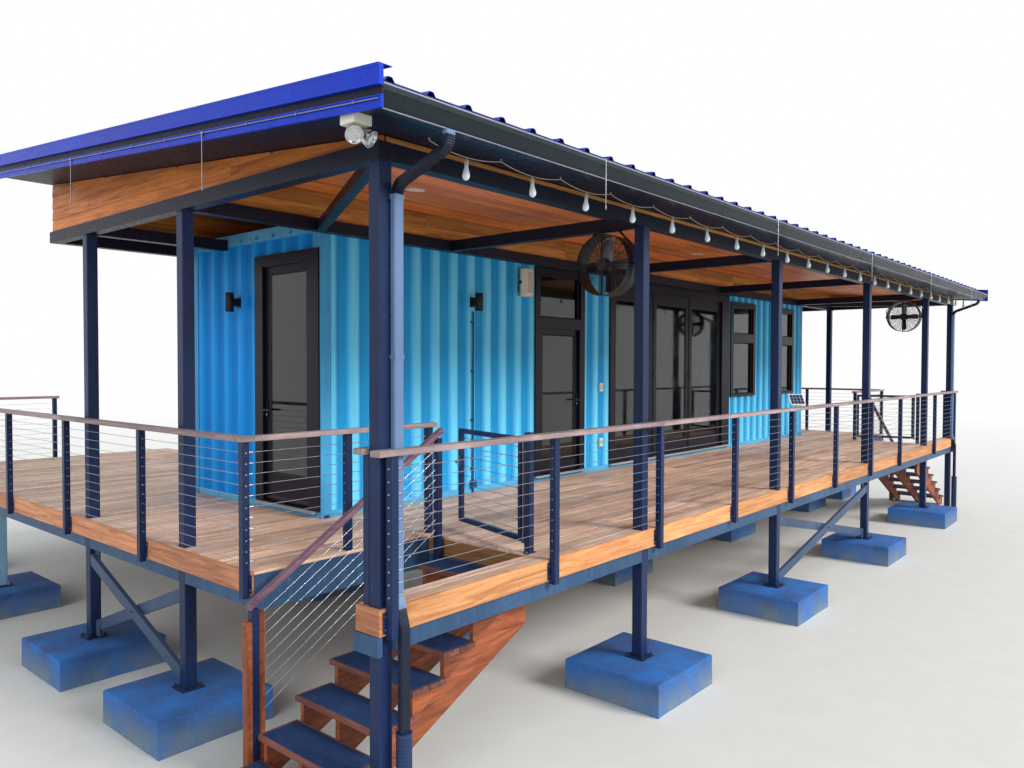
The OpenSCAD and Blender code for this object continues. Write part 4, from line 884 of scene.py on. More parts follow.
def make_roof_screws(rows=7):
    kit = Kit()
    n = round((ROOF_RIGHT - ROOF_LEFT) / 305)
    step = (ROOF_RIGHT - ROOF_LEFT) / n
    for i in range(n):
        for j in range(rows):
            y = ROOF_FRONT + 30 + j * (ROOF_BACK - ROOF_FRONT - 60) / (rows - 1)
            base = lifted(ROOF_LEFT + (i + 0.5) * step + 60, y, SHEET_TOP)
            kit.lathe(base, -ROOF_DOWN, ROOF_SCREW, 8)
    kit.piece("roof_screws", "roof", "roof_blue", smooth=40)


# Gutters and downspouts
GUTTER_LOW, GUTTER_DEEP, GUTTER_HIGH, GUTTER_LENGTH = soffit(ROOF_FRONT) - 6, 130, 110, 3900
GUTTER_FRONT = ROOF_FRONT - GUTTER_DEEP
SPOUT_X, SPOUT_WID, SPOUT_DEEP = LEFT_X + 70, 70, 45


def gutter_profile(inset):
    """The rolled section: flat back and base and ogee front, counted from the roof's edge."""
    t = inset
    return [(-t, t), (-70 - t * 0.4, t), (-84, 6 + t), (-96 + t, 22), (-108 + t, 44), (-122 + t, 66),
            (-GUTTER_DEEP + t, 76)]


def make_gutters():
    """The gutter in lengths with sleeves over the joints, end plates, pale strips along the front hem and the
    bottom bend that are painted highlights, and hangers.
    """
    kit, glints, hangers = kits(3)
    top, front = GUTTER_HIGH, -GUTTER_DEEP
    outer, inner = gutter_profile(0), gutter_profile(2.5)[::-1]
    closed = [(0, top)] + outer + [(front, top)]
    hem = [(front + 14, top), (front + 14, top - 8), (front + 2.5, top - 8)]
    cuts = [ROOF_LEFT, *steps(ROOF_LEFT + GUTTER_LENGTH, ROOF_RIGHT - 1000, GUTTER_LENGTH), ROOF_RIGHT]
    for a, b in spans(cuts):
        kit.prism(closed + hem + inner + [(-2.5, top)], "x", a + (0.6 if a > ROOF_LEFT else 0), b)
    for x, way in ((ROOF_LEFT, 3), (ROOF_RIGHT, -3)):
        kit.prism(closed, "x", x, x + way)
    sleeve = [(0.4, top - 4)] + [(y * 1.02 + 0.6, z - 0.6 if z < 50 else z) for y, z in outer]
    sleeve += [(front - 1.4, top - 4), (front + 1, top - 4)] + inner + [(-1, top - 4)]
    for x in cuts[1:-1]:
        kit.prism(sleeve, "x", x - 22, x + 22)
    # Painted highlights: pale strips along the front hem and along the bottom bend.
    glints.box((ROOF_LEFT, front - 2, top - 7), (ROOF_RIGHT, front + 15, top + 2))
    glints.box((ROOF_LEFT, -78, -3), (ROOF_RIGHT, -66, 3))
    for x in steps(ROOF_LEFT + 300, ROOF_RIGHT - 200, 610):
        hangers.box((x - 13, front + 3, top - 16), (x + 13, -1, top - 12))
        hangers.box((x - 13, -5, top - 40), (x + 13, -1, top - 12))
    for k in (kit, glints, hangers):
        k.move(lambda x, y, z: (x, ROOF_FRONT + y, GUTTER_LOW + z))
    kit.piece("gutter_run", "gutter", "gutter_dark", "gutters", bevel=1.2)
    glints.piece("gutter_glints", "lip", "gutter_dark", bevel=2)
    hangers.piece("gutter_hangers", "bolts", "gutter_dark")


def spout_section(flutes=3, corner=7):
    """A rounded box section with shallow flutes in its broad faces."""
    w, d, n = SPOUT_WID / 2, SPOUT_DEEP / 2, flutes * 4
    flat = 2 * (w - corner)
    near = [(-flat / 2 + flat * i / n, (1.8 if i % 4 in (1, 2) else 0) - d) for i in range(n + 1)]
    far = [(x, -y) for x, y in reversed(near)]
    return near + [(w, corner - d), (w, d - corner)] + far + [(-w, d - corner), (-w, corner - d)]


SPOUT_SECTION = spout_section()


def swept(kit, line, swell=0):
    """Sweeps the spout along a line of (y, z) points, mitred at the bends. It swells by one
    number, or by one for each point."""
    rings = []
    for i, (y, z) in enumerate(line):
        before, after = Vector(line[max(i - 1, 0)]), Vector(line[min(i + 1, len(line) - 1)])
        ahead = (after - before).normalized()
        grow = swell[i] if isinstance(swell, list) else swell
        wide, deep = 1 + grow / 35, 1 + grow / 22
        rings.append([(SPOUT_X + u * wide, y - ahead[1] * v * deep, z + ahead[0] * v * deep)
                      for u, v in SPOUT_SECTION])
    kit.rings(rings)


def arc(line, i, reach, count):
    """Points round the bend at point i of a line, starting and ending at a distance from it."""
    a, p, b = (Vector(q) for q in line[i - 1:i + 2])
    start, end = p + (a - p).normalized() * reach, p + (b - p).normalized() * reach
    shares = [j / count for j in range(count + 1)]
    return [(1 - t) ** 2 * start + 2 * t * (1 - t) * p + t * t * end for t in shares]


def make_downspouts():
    top, dark, pale, drain = kits(4)
    back_y = ROOF_FRONT - 65
    in_y, out_y = (y - CLEAR - SPOUT_DEEP / 2 for y in (DECK_FRONT, FASCIA_FRONT))
    foot_y, foot_z = out_y - 35, -DECK + 640
    line = [(back_y, GUTTER_LOW - 1), (back_y, GUTTER_LOW - 90), (in_y, GUTTER_LOW - 250), (in_y, 62),
            (out_y, 4), (out_y, -15), (foot_y, -130), (foot_y, foot_z)]
    upper, lower = arc(line, 1, 62, 18), arc(line, 2, 62, 18)
    ripple = [0 if j in (0, 18) else (2.6 if j % 2 else -1.2) for j in range(19)]
    swept(dark, upper, ripple)
    swept(dark, lower, ripple)
    swept(top, [line[0], upper[0]])
    swept(dark, [upper[-1], lower[0]], 1.4)
    swept(pale, [lower[-1], (in_y, 66)], 1.2)
    swept(pale, [(in_y, 70), *arc(line, 3, 20, 6), *arc(line, 4, 9, 4), (out_y, -14)], 1.6)
    swept(dark, [(out_y, -14), *arc(line, 6, 22, 5), line[-1]], 1.2)
    half, deep = SPOUT_WID / 2 + 3, SPOUT_DEEP / 2
    for z in (GUTTER_LOW - 330, 1500, 420):
        pale.box((SPOUT_X - half, in_y - deep - 2.2, z), (SPOUT_X + half, in_y + deep + 0.2, z + 26))
    rings, z, tall = [(47, 0), (47, 14)], 14, 654
    while z < tall - 24:
        rings += [(50, z + 4), (50, z + 13), (45, z + 16), (45, z + 22)]
        z += 22
    rings += [(51, z + 2), (51, tall), (44, tall), (44, tall - 4), (0.1, tall - 4)]
    drain.lathe((SPOUT_X, foot_y, -DECK + 1), UP, rings, 32)
    for kit in (top, dark, pale, drain):
        kit.mirror()
    # The outlets and straight pipes carry a pale lilac that is painted highlight.
    top.piece("downspout_outlets", "spout_lit", "gutter_dark", "gutters", bevel=1)
    dark.piece("downspout_elbows", "spout_dark", "gutter_dark", "gutters", smooth=35)
    pale.piece("downspout_pipes", "spout_lit", "gutter_dark", "gutters", smooth=35)
    drain.piece("drain_pipes", "drain", "gutter_dark", "gutters", smooth=35)


# Rail caps
CAP_HALF, WELL_END = CAP_WID / 2, STAIR_TOP_X + 100


def make_caps():
    along, across, hand, screws = kits(4)
    low, high = CAP_LOW, RAIL_HIGH
    left = LEFT_RAIL_X - CAP_HALF

    def screw(x, y):
        screws.lathe((x, y, high), UP, ((4.5, -1), (4.5, 0.3), (2, 0.5), (0.1, 0.4)), 8)

    cuts = [LEFT_X - 130] + FRONT_RAIL[2:-2:2] + [RIGHT_X + 130]
    y0, y1 = FRONT_RAIL_Y - CAP_HALF, FRONT_RAIL_Y + CAP_HALF
    notch, half = DECK_FRONT - CLEAR - SPOUT_DEEP - 3, SPOUT_WID / 2 + 3
    for a, b in spans(cuts):
        a, b = a + (1 if a > LEFT_X else 0), b - (1 if b < RIGHT_X else 0)
        line = [(a, y0), (b, y0), (b, y1)]
        for s in (other(SPOUT_X), SPOUT_X):
            if a < s < b:
                line += [(s + half, y1), (s + half, notch), (s - half, notch), (s - half, y1)]
        along.prism(line + [(a, y1)], "z", low, high)
    for x in FRONT_RAIL[1:-1]:
        for way in (-1, 1):
            screw(x + way * 12, FRONT_RAIL_Y + way * 18)
    well, rear = ((y - CAP_HALF, y + CAP_HALF) for y in (WELL_RAIL_Y, REAR_RAIL_Y))
    corner, a, b = (FRONT_Y + HALF + CLEAR, FRONT_Y + HALF + CAP_WID), LEFT_X - HALF - 50, LEFT_X + HALF + 5
    for x0, x1, (near, far) in ((left, WELL_END, well), (left, STAIR_TOP_X + 60, rear), (a, b, corner),
                                (other(b), other(a), corner), (other(WELL_END), other(left), well)):
        along.box((x0, near, low), (x1, far, high))
    near = WELL_RAIL_Y + CAP_HALF + 1
    for x, rows, far in ((LEFT_RAIL_X, LEFT_RAIL, REAR_RAIL_Y - CAP_HALF - 1),
                         (other(LEFT_RAIL_X), RIGHT_RAIL, BOX_W)):
        for a, b in spans([near] + rows[2:-1:2] + [far]):
            a, b = a + (1 if a > near else 0), b - (1 if b < far else 0)
            across.box((x - CAP_HALF, a, low), (x + CAP_HALF, b, high))
        for y in rows[1:-1]:
            for way in (-1, 1):
                screw(x + way * 18, y + way * 12)
    x0, x1, wide = FOOT_X - 40, STAIR_TOP_X - 20, CAP_WID / 3
    line = [(x, nosing(x) + HAND_LOW) for x in (x0, x1)]
    line += [(x, z + HAND_T) for x, z in reversed(line)]
    hand.prism(line, "y", GUARD_Y - wide, GUARD_Y + wide)
    hand.mirror()
    along.piece("rail_caps_front", "caps", "cap_wood", "rail_caps", bevel=5)
    across.piece("rail_caps_sides", "caps_y", "cap_wood", "rail_caps", bevel=5)
    hand.piece("stair_hand_rails", "hand", "cap_wood", "rail_caps", bevel=7)
    screws.piece("cap_screws", "bolts", "black_steel")


# Gates
def in_gate(u, v, z):
    """A place on the left gate at rest: v along the leaf from its hinge, u across it."""
    c, s = math.cos(GATE_TURN), math.sin(GATE_TURN)
    return (HINGE[0] + u * c - v * s, HINGE[1] + u * s + v * c, z)


def make_gates():
    leaf, wires, parts = kits(3)
    half, near, far, lock, tall = GATE_BAR / 2, 10, GATE_LEN - 2, GATE_LEN - 22, GATE_HIGH - GATE_LOW
    for v in (near, far - GATE_BAR):
        leaf.box((-half, v, GATE_LOW), (half, v + GATE_BAR, GATE_HIGH))
    for z in (GATE_LOW, GATE_HIGH - GATE_BAR):
        leaf.box((-half, near + GATE_BAR, z), (half, far - GATE_BAR, z + GATE_BAR))
    for i in range(1, 10):
        z = GATE_LOW + i * tall / 10
        wires.rod((0, near + 30, z), (0, GATE_LEN - 30, z), WIRE_R, 8)
        for v, way in ((near + GATE_BAR, 1), (far - GATE_BAR, -1)):
            parts.rod((0, v - way * 2, z), (0, v + way * 38, z), 4.2, 8)
    for low, r, high, sides in ((GATE_LOW, 11.5, 90, 24), (GATE_HIGH - 90, 11.5, 90, 24),
                                (GATE_LOW + 60, 9, tall - 120, 20)):
        parts.lathe((0, 0, low), UP, ((r, 0), (r, high)), sides)
    for z in (GATE_LOW + 20, GATE_HIGH - 60):
        parts.box((-6, 8, z), (6, near + 4, z + 40))
    parts.box((-half - 6, lock - 14, LOCK_Z - 50), (-half + 1, lock + 14, LOCK_Z + 50))
    parts.rod((-half - 22, lock, LOCK_Z), (half + 20, lock, LOCK_Z), 6, 12)
    knob = ((6, 0), (14, 3), (15, 10), (11, 16), (0.1, 18))
    parts.lathe((-half - 22, lock, LOCK_Z), (-1, 0, 0), knob, 16)
    for kit, name, look, finish in ((leaf, "frame", "porch_posts", dict(bevel=3)),
                                    (wires, "cables", "cable", dict(smooth=40)),
                                    (parts, "fittings", "bolts", dict(smooth=40))):
        kit.move(in_gate)
        for gate, k in (("left_gate", kit), ("right_gate", kit.twin())):
            k.piece(f"{gate}_{name}", look, "black_steel", gate, body=gate, **finish)


# Stairs
def make_treads():
    boards, grips = kits(2)
    near, far = STAIR_NEAR + 15, GUARD_Y - RAIL_POST / 2
    for i in range(RISERS - 1):
        x0, x1 = STAIR_TOP_X - (i + 1) * GOING - 20, STAIR_TOP_X - i * GOING - 1
        mid, z = (x0 + x1) / 2, -(i + 1) * RISE
        for a, b in ((x0, mid - 2), (mid + 2, x1)):
            boards.box((a, near, z - 40), (b, far, z))
        grips.box((x0 + 16, near + 22, z - 1), (x1 - 20, far - 26, z + 2))
        for x in steps(x0 + 26, x1 - 32, 20):
            grips.box((x, near + 30, z + 1.5), (x + 7, far - 34, z + 4))
    boards.mirror()
    grips.mirror()
    boards.piece("tread_boards", "strings_y", "string_wood", "stair_treads", bevel=4)
    grips.piece("tread_grips", "treads", "tread_blue", "stair_treads", bevel=1)


# Footings, piers and posts
FOOT_HALF, FOOT_TOP, PIER_Y, REAR_PIER_X = 475, -DECK + 270, 2250, REAR_X - 250
REAR_PIERS = ((BOX_W + REAR_EDGE) / 2 - FOOT_HALF, REAR_EDGE - FOOT_HALF - 1)
REAR_SPOTS = [(x, y) for x in (LEFT_X, REAR_PIER_X) for y in REAR_PIERS]
PLATE_HALF, PLATE_T, BOLT_OUT, HEAD_HALF = 95, 12, 74, 62
FOOT_RINGS = ((-DECK + 0.5, 0), (-DECK + 90, 0), (-DECK + 180, -2), (FOOT_TOP - 16, -1), (FOOT_TOP - 5, -5),
              (FOOT_TOP, -14))


def footing(kit, rng, x, y, h=FOOT_HALF, n=10):
    """A block with wavering sides, its top edge rounded in rings of a height and a growth."""
    ring = []
    for side in range(4):
        for k in range(n):
            t = -h + 2 * h * k / n
            wob = 0 if k == 0 else rng.uniform(-5, 0)
            ring.append([(t, -h - wob), (h + wob, t), (-t, h + wob), (-h - wob, -t)][side])
    kit.rings([[(x + u * (1 + grow / h), y + v * (1 + grow / h), z) for u, v in ring]
               for z, grow in FOOT_RINGS])


def make_supports():
    blocks, plates, posts, piers = kits(4)
    rng = chance("footings")
    inner = [(x, FRONT_Y) for x in INNER_POSTS]
    near, far = SIDE_POSTS_Y
    spots = inner + [(x, near) for x in POSTS_X]
    spots += [(x, far if x in (LEFT_X, RIGHT_X) else PIER_Y) for x in POSTS_X]
    for x, y in spots + REAR_SPOTS:
        footing(blocks, rng, x, y)
        plates.stub(x, y, PLATE_HALF, FOOT_TOP, FOOT_TOP + PLATE_T)
        for dx in (-BOLT_OUT, BOLT_OUT):
            for dy in (-BOLT_OUT, BOLT_OUT):
                plates.lathe((x + dx, y + dy, FOOT_TOP + PLATE_T), UP, ANCHOR, 6)
    for x, y in inner + SIDE_POSTS:
        posts.stub(x, y, HALF, FOOT_TOP + 10, GIRDER_LOW)
    for x in (LEFT_X, RIGHT_X):
        posts.stub(x, FRONT_Y, HALF, -DECK, GIRDER_LOW)
        plates.box((x - 90, FRONT_Y - HEAD_HALF, -DECK + 0.5), (x + 90, FRONT_Y + HEAD_HALF, -DECK + PLATE_T))
    for x, y in [(x, y) for x in INNER_POSTS for y in (near, PIER_Y)] + REAR_SPOTS:
        piers.stub(x, y, HALF, FOOT_TOP + 10, BEAM_LOW)
    for x, y in FRONT_POSTS + SIDE_POSTS:
        plates.stub(x, y, HEAD_HALF, GIRDER_LOW - 10, GIRDER_LOW - 0.5)
    blocks.piece("footing_blocks", "footings", "concrete", "footings", smooth=30)
    plates.piece("base_plates", "porch_posts", "black_steel", bevel=1.5)
    posts.piece("post_tubes", "porch_posts", "black_steel", "porch_posts", bevel=7)
    piers.piece("pier_tubes", "piers", "pier_steel", "piers", bevel=7)


# Fans: a drum with rolled lips, a wire guard on either face, struts, a motor and turned blades
FANS = (("left_fan", INNER_POSTS[0]), ("right_fan", INNER_POSTS[3]))
FAN_Y, FAN_Z, FAN_R, FAN_DEEP, YOKE_OUT, YOKE_T, YOKE_WID = FRONT_Y + 366, 2380, 280, 200, 310, 8, 40
MOTOR_BACK, MOTOR_FRONT, HUB_R, BLADES = -FAN_DEEP / 2 + 8, -15, 45, 4
HUB = ((HUB_R - 6, 0), (HUB_R, 3), (HUB_R, 40), (HUB_R - 4, 46), (28, 50), (10, 51.5), (0.1, 52))
MOTOR = ((34, MOTOR_BACK), (50, MOTOR_BACK + 2), (58, MOTOR_BACK + 8), (60, MOTOR_BACK + 16),
         (60, MOTOR_FRONT - 14), (57, MOTOR_FRONT - 5), (30, MOTOR_FRONT - 1), (12, MOTOR_FRONT))
BLADE = ((-1, 0), (-0.5, 4), (0, 5.5), (0.5, 4), (1, 0), (0.5, 2.2), (0, 3.2), (-0.5, 2.2))


def polar(radius, turn, w=0.0):
    return Vector((radius * math.cos(turn), radius * math.sin(turn), w))


def in_fan(x):
    """Turns a place in a fan (u down, v back, w along its axis) into one in the site frame."""
    return lambda u, v, w: (x + w, FAN_Y + v, FAN_Z - u)


def make_fan_frame(name, x):
    drum, wires, steel = kits(3)
    r, half = FAN_R, FAN_DEEP / 2
    lip = [(r - 4, half - 6), (r - 2, half - 2), (r, half), (r, half - 9), (r - 1, half - 22), (r - 1, 14),
           (r, 9)]
    wall = lip + [(u, -w) for u, w in reversed(lip)] + [(r - 5, 12 - half), (r - 5, half - 12)]
    drum.rings([[polar(u, t, w) for u, w in wall] for t in turns(72)], closed=True)
    for w in (half - 3, 3 - half):
        for u in range(64, r - 10, 18):
            wires.tube([polar(u, t, w) for t in turns(48)], 1.7, 6, closed=True)
        for t in turns(24, 0.5):
            wires.rod(polar(52, t, w), polar(r - 4, t, w), 2.2, 6)
        wires.lathe((0, 0, w - 2), UP, ((54, 0), (54, 4), (50, 5), (0.1, 5)), 32)
    for t in turns(4):
        strut = ((58, -9), (r - 4, -9), (r - 4, 9), (58, 9))
        steel.rings([[polar(u, t, w) + polar(v, t + TURN / 4) for u, v in strut]
                     for w in (5 - half, 11 - half)])
    steel.lathe((0, 0, 0), UP, MOTOR, 40)
    for t in turns(12):
        steel.rod(polar(60.5, t, MOTOR_BACK + 18), polar(60.5, t, MOTOR_FRONT - 16), 2.4, 6)
    low, shrink, wide = YOKE_OUT * math.tan(math.pi / 8), (YOKE_OUT - YOKE_T) / YOKE_OUT, YOKE_WID / 2
    line = [(30, YOKE_OUT), (-low, YOKE_OUT), (-YOKE_OUT, low)]
    line += [(u, -v) for u, v in reversed(line)]
    inside = [(u if u > 0 else u * shrink, v * shrink) for u, v in line]
    steel.rings([[(*p, -wide), (*p, wide), (*q, wide), (*q, -wide)] for p, q in zip(line, inside)])
    for side in (-1, 1):
        steel.lathe((0, side * (YOKE_OUT + 9), 0), (0, -side, 0),
                    ((11, 0), (14, 1), (14, 8), (9, 9), (9, YOKE_OUT - r + 12)), 16)
        steel.lathe((0, side * (YOKE_OUT - YOKE_T), 0), (0, -side, 0),
                    ((19, 0), (19, 6), (13, 9), (13, YOKE_OUT - YOKE_T - r + 2)), 20)
    for kit, part, look, soft in ((drum, "drum", "fan_drum", 30), (wires, "guard", "fan_wire", 50),
                                  (steel, "yoke", "fan_steel", 35)):
        kit.move(in_fan(x))
        kit.piece(f"{name}_{part}", look, "fan_metal", "fan_frames", smooth=soft)


def make_rotor(name, x, cuts=14):
    """A hub with a domed nose and four twisted blades with rounded tips."""
    kit = Kit()
    kit.lathe((0, 0, MOTOR_FRONT + CLEAR), UP, HUB, 40)
    for turn in turns(BLADES):
        rings = []
        for share in (i / cuts for i in range(cuts + 1)):
            reach = HUB_R - 6 + (FAN_R - 36 - HUB_R + 6) * share
            lean, wide = math.radians(38 - 20 * share), 38 + 16 * share
            if share > 0.8:
                wide *= math.sqrt(max(0.02, 1 - ((share - 0.8) / 0.2) ** 2 * 0.9))
            ring = []
            for across, lift in BLADE:
                v = across * wide * math.cos(lean) - lift * math.sin(lean)
                w = across * wide * math.sin(lean) + lift * math.cos(lean) + 14
                ring.append(polar(reach, turn, w) + polar(v, turn + TURN / 4))
            rings.append(ring)
        kit.rings(rings)
    kit.move(in_fan(x))
    kit.piece(f"{name}_rotor", "fan_blade", "fan_metal", name, smooth=35, body=name)


def make_fans():
    for name, x in FANS:
        make_fan_frame(name, x)
        make_rotor(name, x)


# String lights
LIGHT_Y, LIGHT_X0, LIGHT_STEP, LIGHT_BAYS, LIGHT_SAG, HOOK = FRONT_Y - 250, -1223, 648, 23, 38, 14
SOCKET = ((4, 0), (6, 2), (7, 14), (12, 20), (14, 28), (14, 52), (12, 56), (12, 58))
BULB = ((12, 55), (13, 64), (17, 80), (22, 98), (25, 114), (24, 126), (18, 138), (8, 145), (0.1, 147))


def make_string_lights(cuts=10):
    """The wire in its sags with a hook between them, and a socket and bulb at each low point."""
    wire, holders, bulbs = kits(3)
    top = soffit(LIGHT_Y) - CLEAR - HOOK
    path = []
    for t in (i / cuts for i in range(LIGHT_BAYS * cuts + 1)):
        u = 2 * (t - math.floor(t)) - 1
        path.append((LIGHT_X0 + t * LIGHT_STEP, LIGHT_Y, top - LIGHT_SAG * (1 - u * u)))
    wire.tube(path, 2.6, 6)
    for i in range(LIGHT_BAYS + 1):
        x = LIGHT_X0 + i * LIGHT_STEP
        wire.lathe((x, LIGHT_Y, top + HOOK), DOWN, ((7, 0), (7, 2), (2, 2.5), (2, HOOK - 3)), 10)
        bends = [math.radians(d) for d in range(90, -200, -30)]
        wire.tube([(x + 5 * math.cos(a), LIGHT_Y, top + 3 + 5 * math.sin(a)) for a in bends], 1.3, 6)
    rng = chance("bulbs")
    for i in range(LIGHT_BAYS):
        place = (LIGHT_X0 + (i + 0.5) * LIGHT_STEP, LIGHT_Y, top - LIGHT_SAG + 3)
        lean = Vector((rng.uniform(-0.06, 0.06), rng.uniform(-0.06, 0.06), -1))
        holders.lathe(place, lean, SOCKET, 16)
        bulbs.lathe(place, lean, BULB, 20)
    wire.piece("light_wire", "speaker_dark", "fitting_black", "wall_fittings", smooth=50)
    holders.piece("light_sockets", "speaker_dark", "fitting_black", smooth=40)
    bulbs.piece("light_bulbs", "bulb", "fitting_black", smooth=60)


# Lamps, speaker, boxes and floodlight
FRONT_LAMP, END_LAMP, LAMP_OUT = (2080, 2180), (1450, 2120), 105
SWITCH_X, SWITCH_LEVELS = 4663, (1156, 389)
STRAP = ((-13, -2), (-11, -20), (0, -26), (11, -20), (13, -2))
LAMP = ((45, 0), (45, 86), (44, 88), (45, 90), (45, 98), (43.5, 100), (40, 100), (40, 88), (0.1, 86))
SPEAKER_X, SPEAKER_LOW, SPEAKER_HALF, SPEAKER_DEEP, SPEAKER_HIGH = 2960, 2300, 110, 140, 340
SPEAKER = ((-0.55, 0.08), (0.55, 0.08), (0.98, 0.45), (1, 0.62), (0.6, 0.97), (0.5, 1), (-0.5, 1),
           (-0.6, 0.97), (-1, 0.62), (-0.98, 0.45))
DOWNLIGHTS, DOWNLIGHT_Y, DOWNLIGHT_R = (105, 5179, 10253), -1200, 84
FLOOD = (-1775, -2790)
FLOOD_HEAD = ((18, -20), (30, -14), (34, 0), (46, 34), (50, 52), (50, 58), (44, 58), (40, 46), (0.1, 40))


def make_lamp(kit, glass, place):
    """An up and down lamp: place turns (along the wall, out from it, up) into a point."""
    for sign in (-1, 1):
        kit.lathe(place(0, LAMP_OUT, 0), (0, 0, sign), LAMP, 40)
        glass.lathe(place(0, LAMP_OUT, sign * 87), (0, 0, sign), ((39, 0), (39, 3), (30, 6), (0.1, 7)), 32)
    kit.box(place(-25, -8, -40), place(25, 66, 40))
    kit.box(place(-38, -2, -56), place(38, 5, 56))


def make_speaker(pale, grille, dark):
    """A bulging cabinet with a ribbed grille, on a bracket with a knob at either side."""
    def bulge(share):
        return 0.86 + 0.14 * math.sqrt(max(0, 1 - (2 * share - 1) ** 2))

    def place(u, v, share, grow):
        x, y = SPEAKER_X + u * SPEAKER_HALF * grow, -v * SPEAKER_DEEP * grow
        return (x, y, SPEAKER_LOW + SPEAKER_HIGH * share)

    rings = []
    for share in (0, 0.03, 0.1, 0.3, 0.5, 0.7, 0.9, 0.97, 1):
        grow = bulge(share) - (0.05 if share in (0, 1) else 0)
        rings.append([place(u, v, share, grow) for u, v in SPEAKER])
    pale.rings(rings)
    for u in (-0.46 + 0.92 * i / 14 for i in range(15)):
        ribs = [place(u, 1, share, bulge(share)) for share in (0.12, 0.3, 0.5, 0.7, 0.88)]
        grille.tube([(x, y - 0.3, z) for x, y, z in ribs], 1.6, 6)
    dark.box((SPEAKER_X - 60, -18, SPEAKER_LOW + 60), (SPEAKER_X + 60, 2, SPEAKER_LOW + 280))
    for side in (-1, 1):
        knob = (SPEAKER_X + side * 104, -70, SPEAKER_LOW + 170)
        dark.lathe(knob, (side, 0, 0), ((20, 0), (20, 5), (16, 8), (0.1, 9)), 20)


def make_wall_parts():
    """Lamps, the speaker, the conduit to the front lamp and two boxes beside the entry door."""
    dark, glass, pale, grille, pipe = kits(5)
    make_lamp(dark, glass, lambda u, v, w: (FRONT_LAMP[0] + u, -v, FRONT_LAMP[1] + w))
    make_lamp(dark, glass, lambda u, v, w: (-v, END_LAMP[0] + u, END_LAMP[1] + w))
    x, top = FRONT_LAMP[0], FRONT_LAMP[1] - 105
    pipe.rod((x, -13, 3), (x, -13, top), 11, 16)
    for z in steps(260, top - 100, 560):
        pipe.box((x - 30, -3, z), (x + 30, 0.5, z + 22))
        pipe.tube([(x + u, v, z + 11) for u, v in STRAP], 2.5, 6)
    pipe.box((x - 34, -46, 60), (x + 34, -1, 140))
    for z in SWITCH_LEVELS:
        pale.box((SWITCH_X - 36, -30, z - 58), (SWITCH_X + 36, 1, z + 58))
        grille.box((SWITCH_X - 22, -33, z - 30), (SWITCH_X + 22, -29.5, z + 30))
    make_speaker(pale, grille, dark)
    dark.piece("wall_lamps", "fittings", "fitting_black", "wall_fittings", smooth=35)
    pipe.piece("lamp_conduit", "conduit", "fitting_black", "wall_fittings", smooth=35)
    glass.piece("lamp_lenses", "lens", "fitting_black", smooth=40)
    pale.piece("speaker_cabinet", "speaker", "fitting_black", bevel=4)
    grille.piece("speaker_grille", "speaker_dark", "fitting_black", smooth=50)


def make_soffit_parts():
    """Recessed lights in the cedar, and a twin floodlight under the corner of the overhang."""
    rims, lenses, flood, heads = kits(4)
    r = DOWNLIGHT_R
    for x in DOWNLIGHTS:
        base = lifted(x, DOWNLIGHT_Y, 0)
        rims.lathe(base, ROOF_DOWN, ((r, -3), (r, 2), (r - 3, 4), (r - 14, 4), (r - 16, 1), (0.1, 1)), 40)
        lenses.lathe(base, ROOF_DOWN, ((r - 17, 0), (r - 17, 2), (40, 3), (0.1, 3.4)), 32)
    x, y, z = lifted(*FLOOD, 0)
    flood.stub(x, y, 62, z - 58, z + 4)
    for side in (-1, 1):
        arm = ((26, 0, -56), (30, -6, -78), (36, -14, -92))
        flood.tube([(x + side * u, y + v, z + w) for u, v, w in arm], 9, 12)
        heads.lathe((x + side * 38, y - 16, z - 96), (side * 0.35, -0.75, -0.55), FLOOD_HEAD, 28)
    rims.piece("downlight_rims", "speaker", "cedar", smooth=35)
    lenses.piece("downlight_lenses", "lens", "cedar", smooth=40)
    flood.piece("floodlight_box", "speaker", "gutter_dark", bevel=5)
    heads.piece("floodlight_heads", "lens_grey", "gutter_dark", smooth=35)


# Roof edge: outlines across the slope, heights counted from the roof's underside
RAKE_X, MIST_X, MIST_DROP, MIST_SPOTS = ROOF_LEFT - CLEAR, ROOF_LEFT - CLEAR - 25, 330, (-1320, 846)
TRIM = ((0, -16), (-20, -16), (-20, -9), (-17, -7), (-17, 43), (-20, 45), (-20, 52), (0, 52))
RECESS = ((0, 52.5), (-10, 52.5), (-10, 98.5), (0, 98.5))
CAP_TRIM = ((0, 99), (-34, 99), (-34, 105), (-31, 108), (-31, 190), (-34, 194), (-34, 209), (60, 209),
            (60, 206), (0, 206))
C_PURLIN = ((0, 20.3), (60, 20.3), (60, 36), (57, 36), (57, 23.3), (3, 23.3), (3, 170), (57, 170), (57, 157),
            (60, 157), (60, 173), (0, 173))


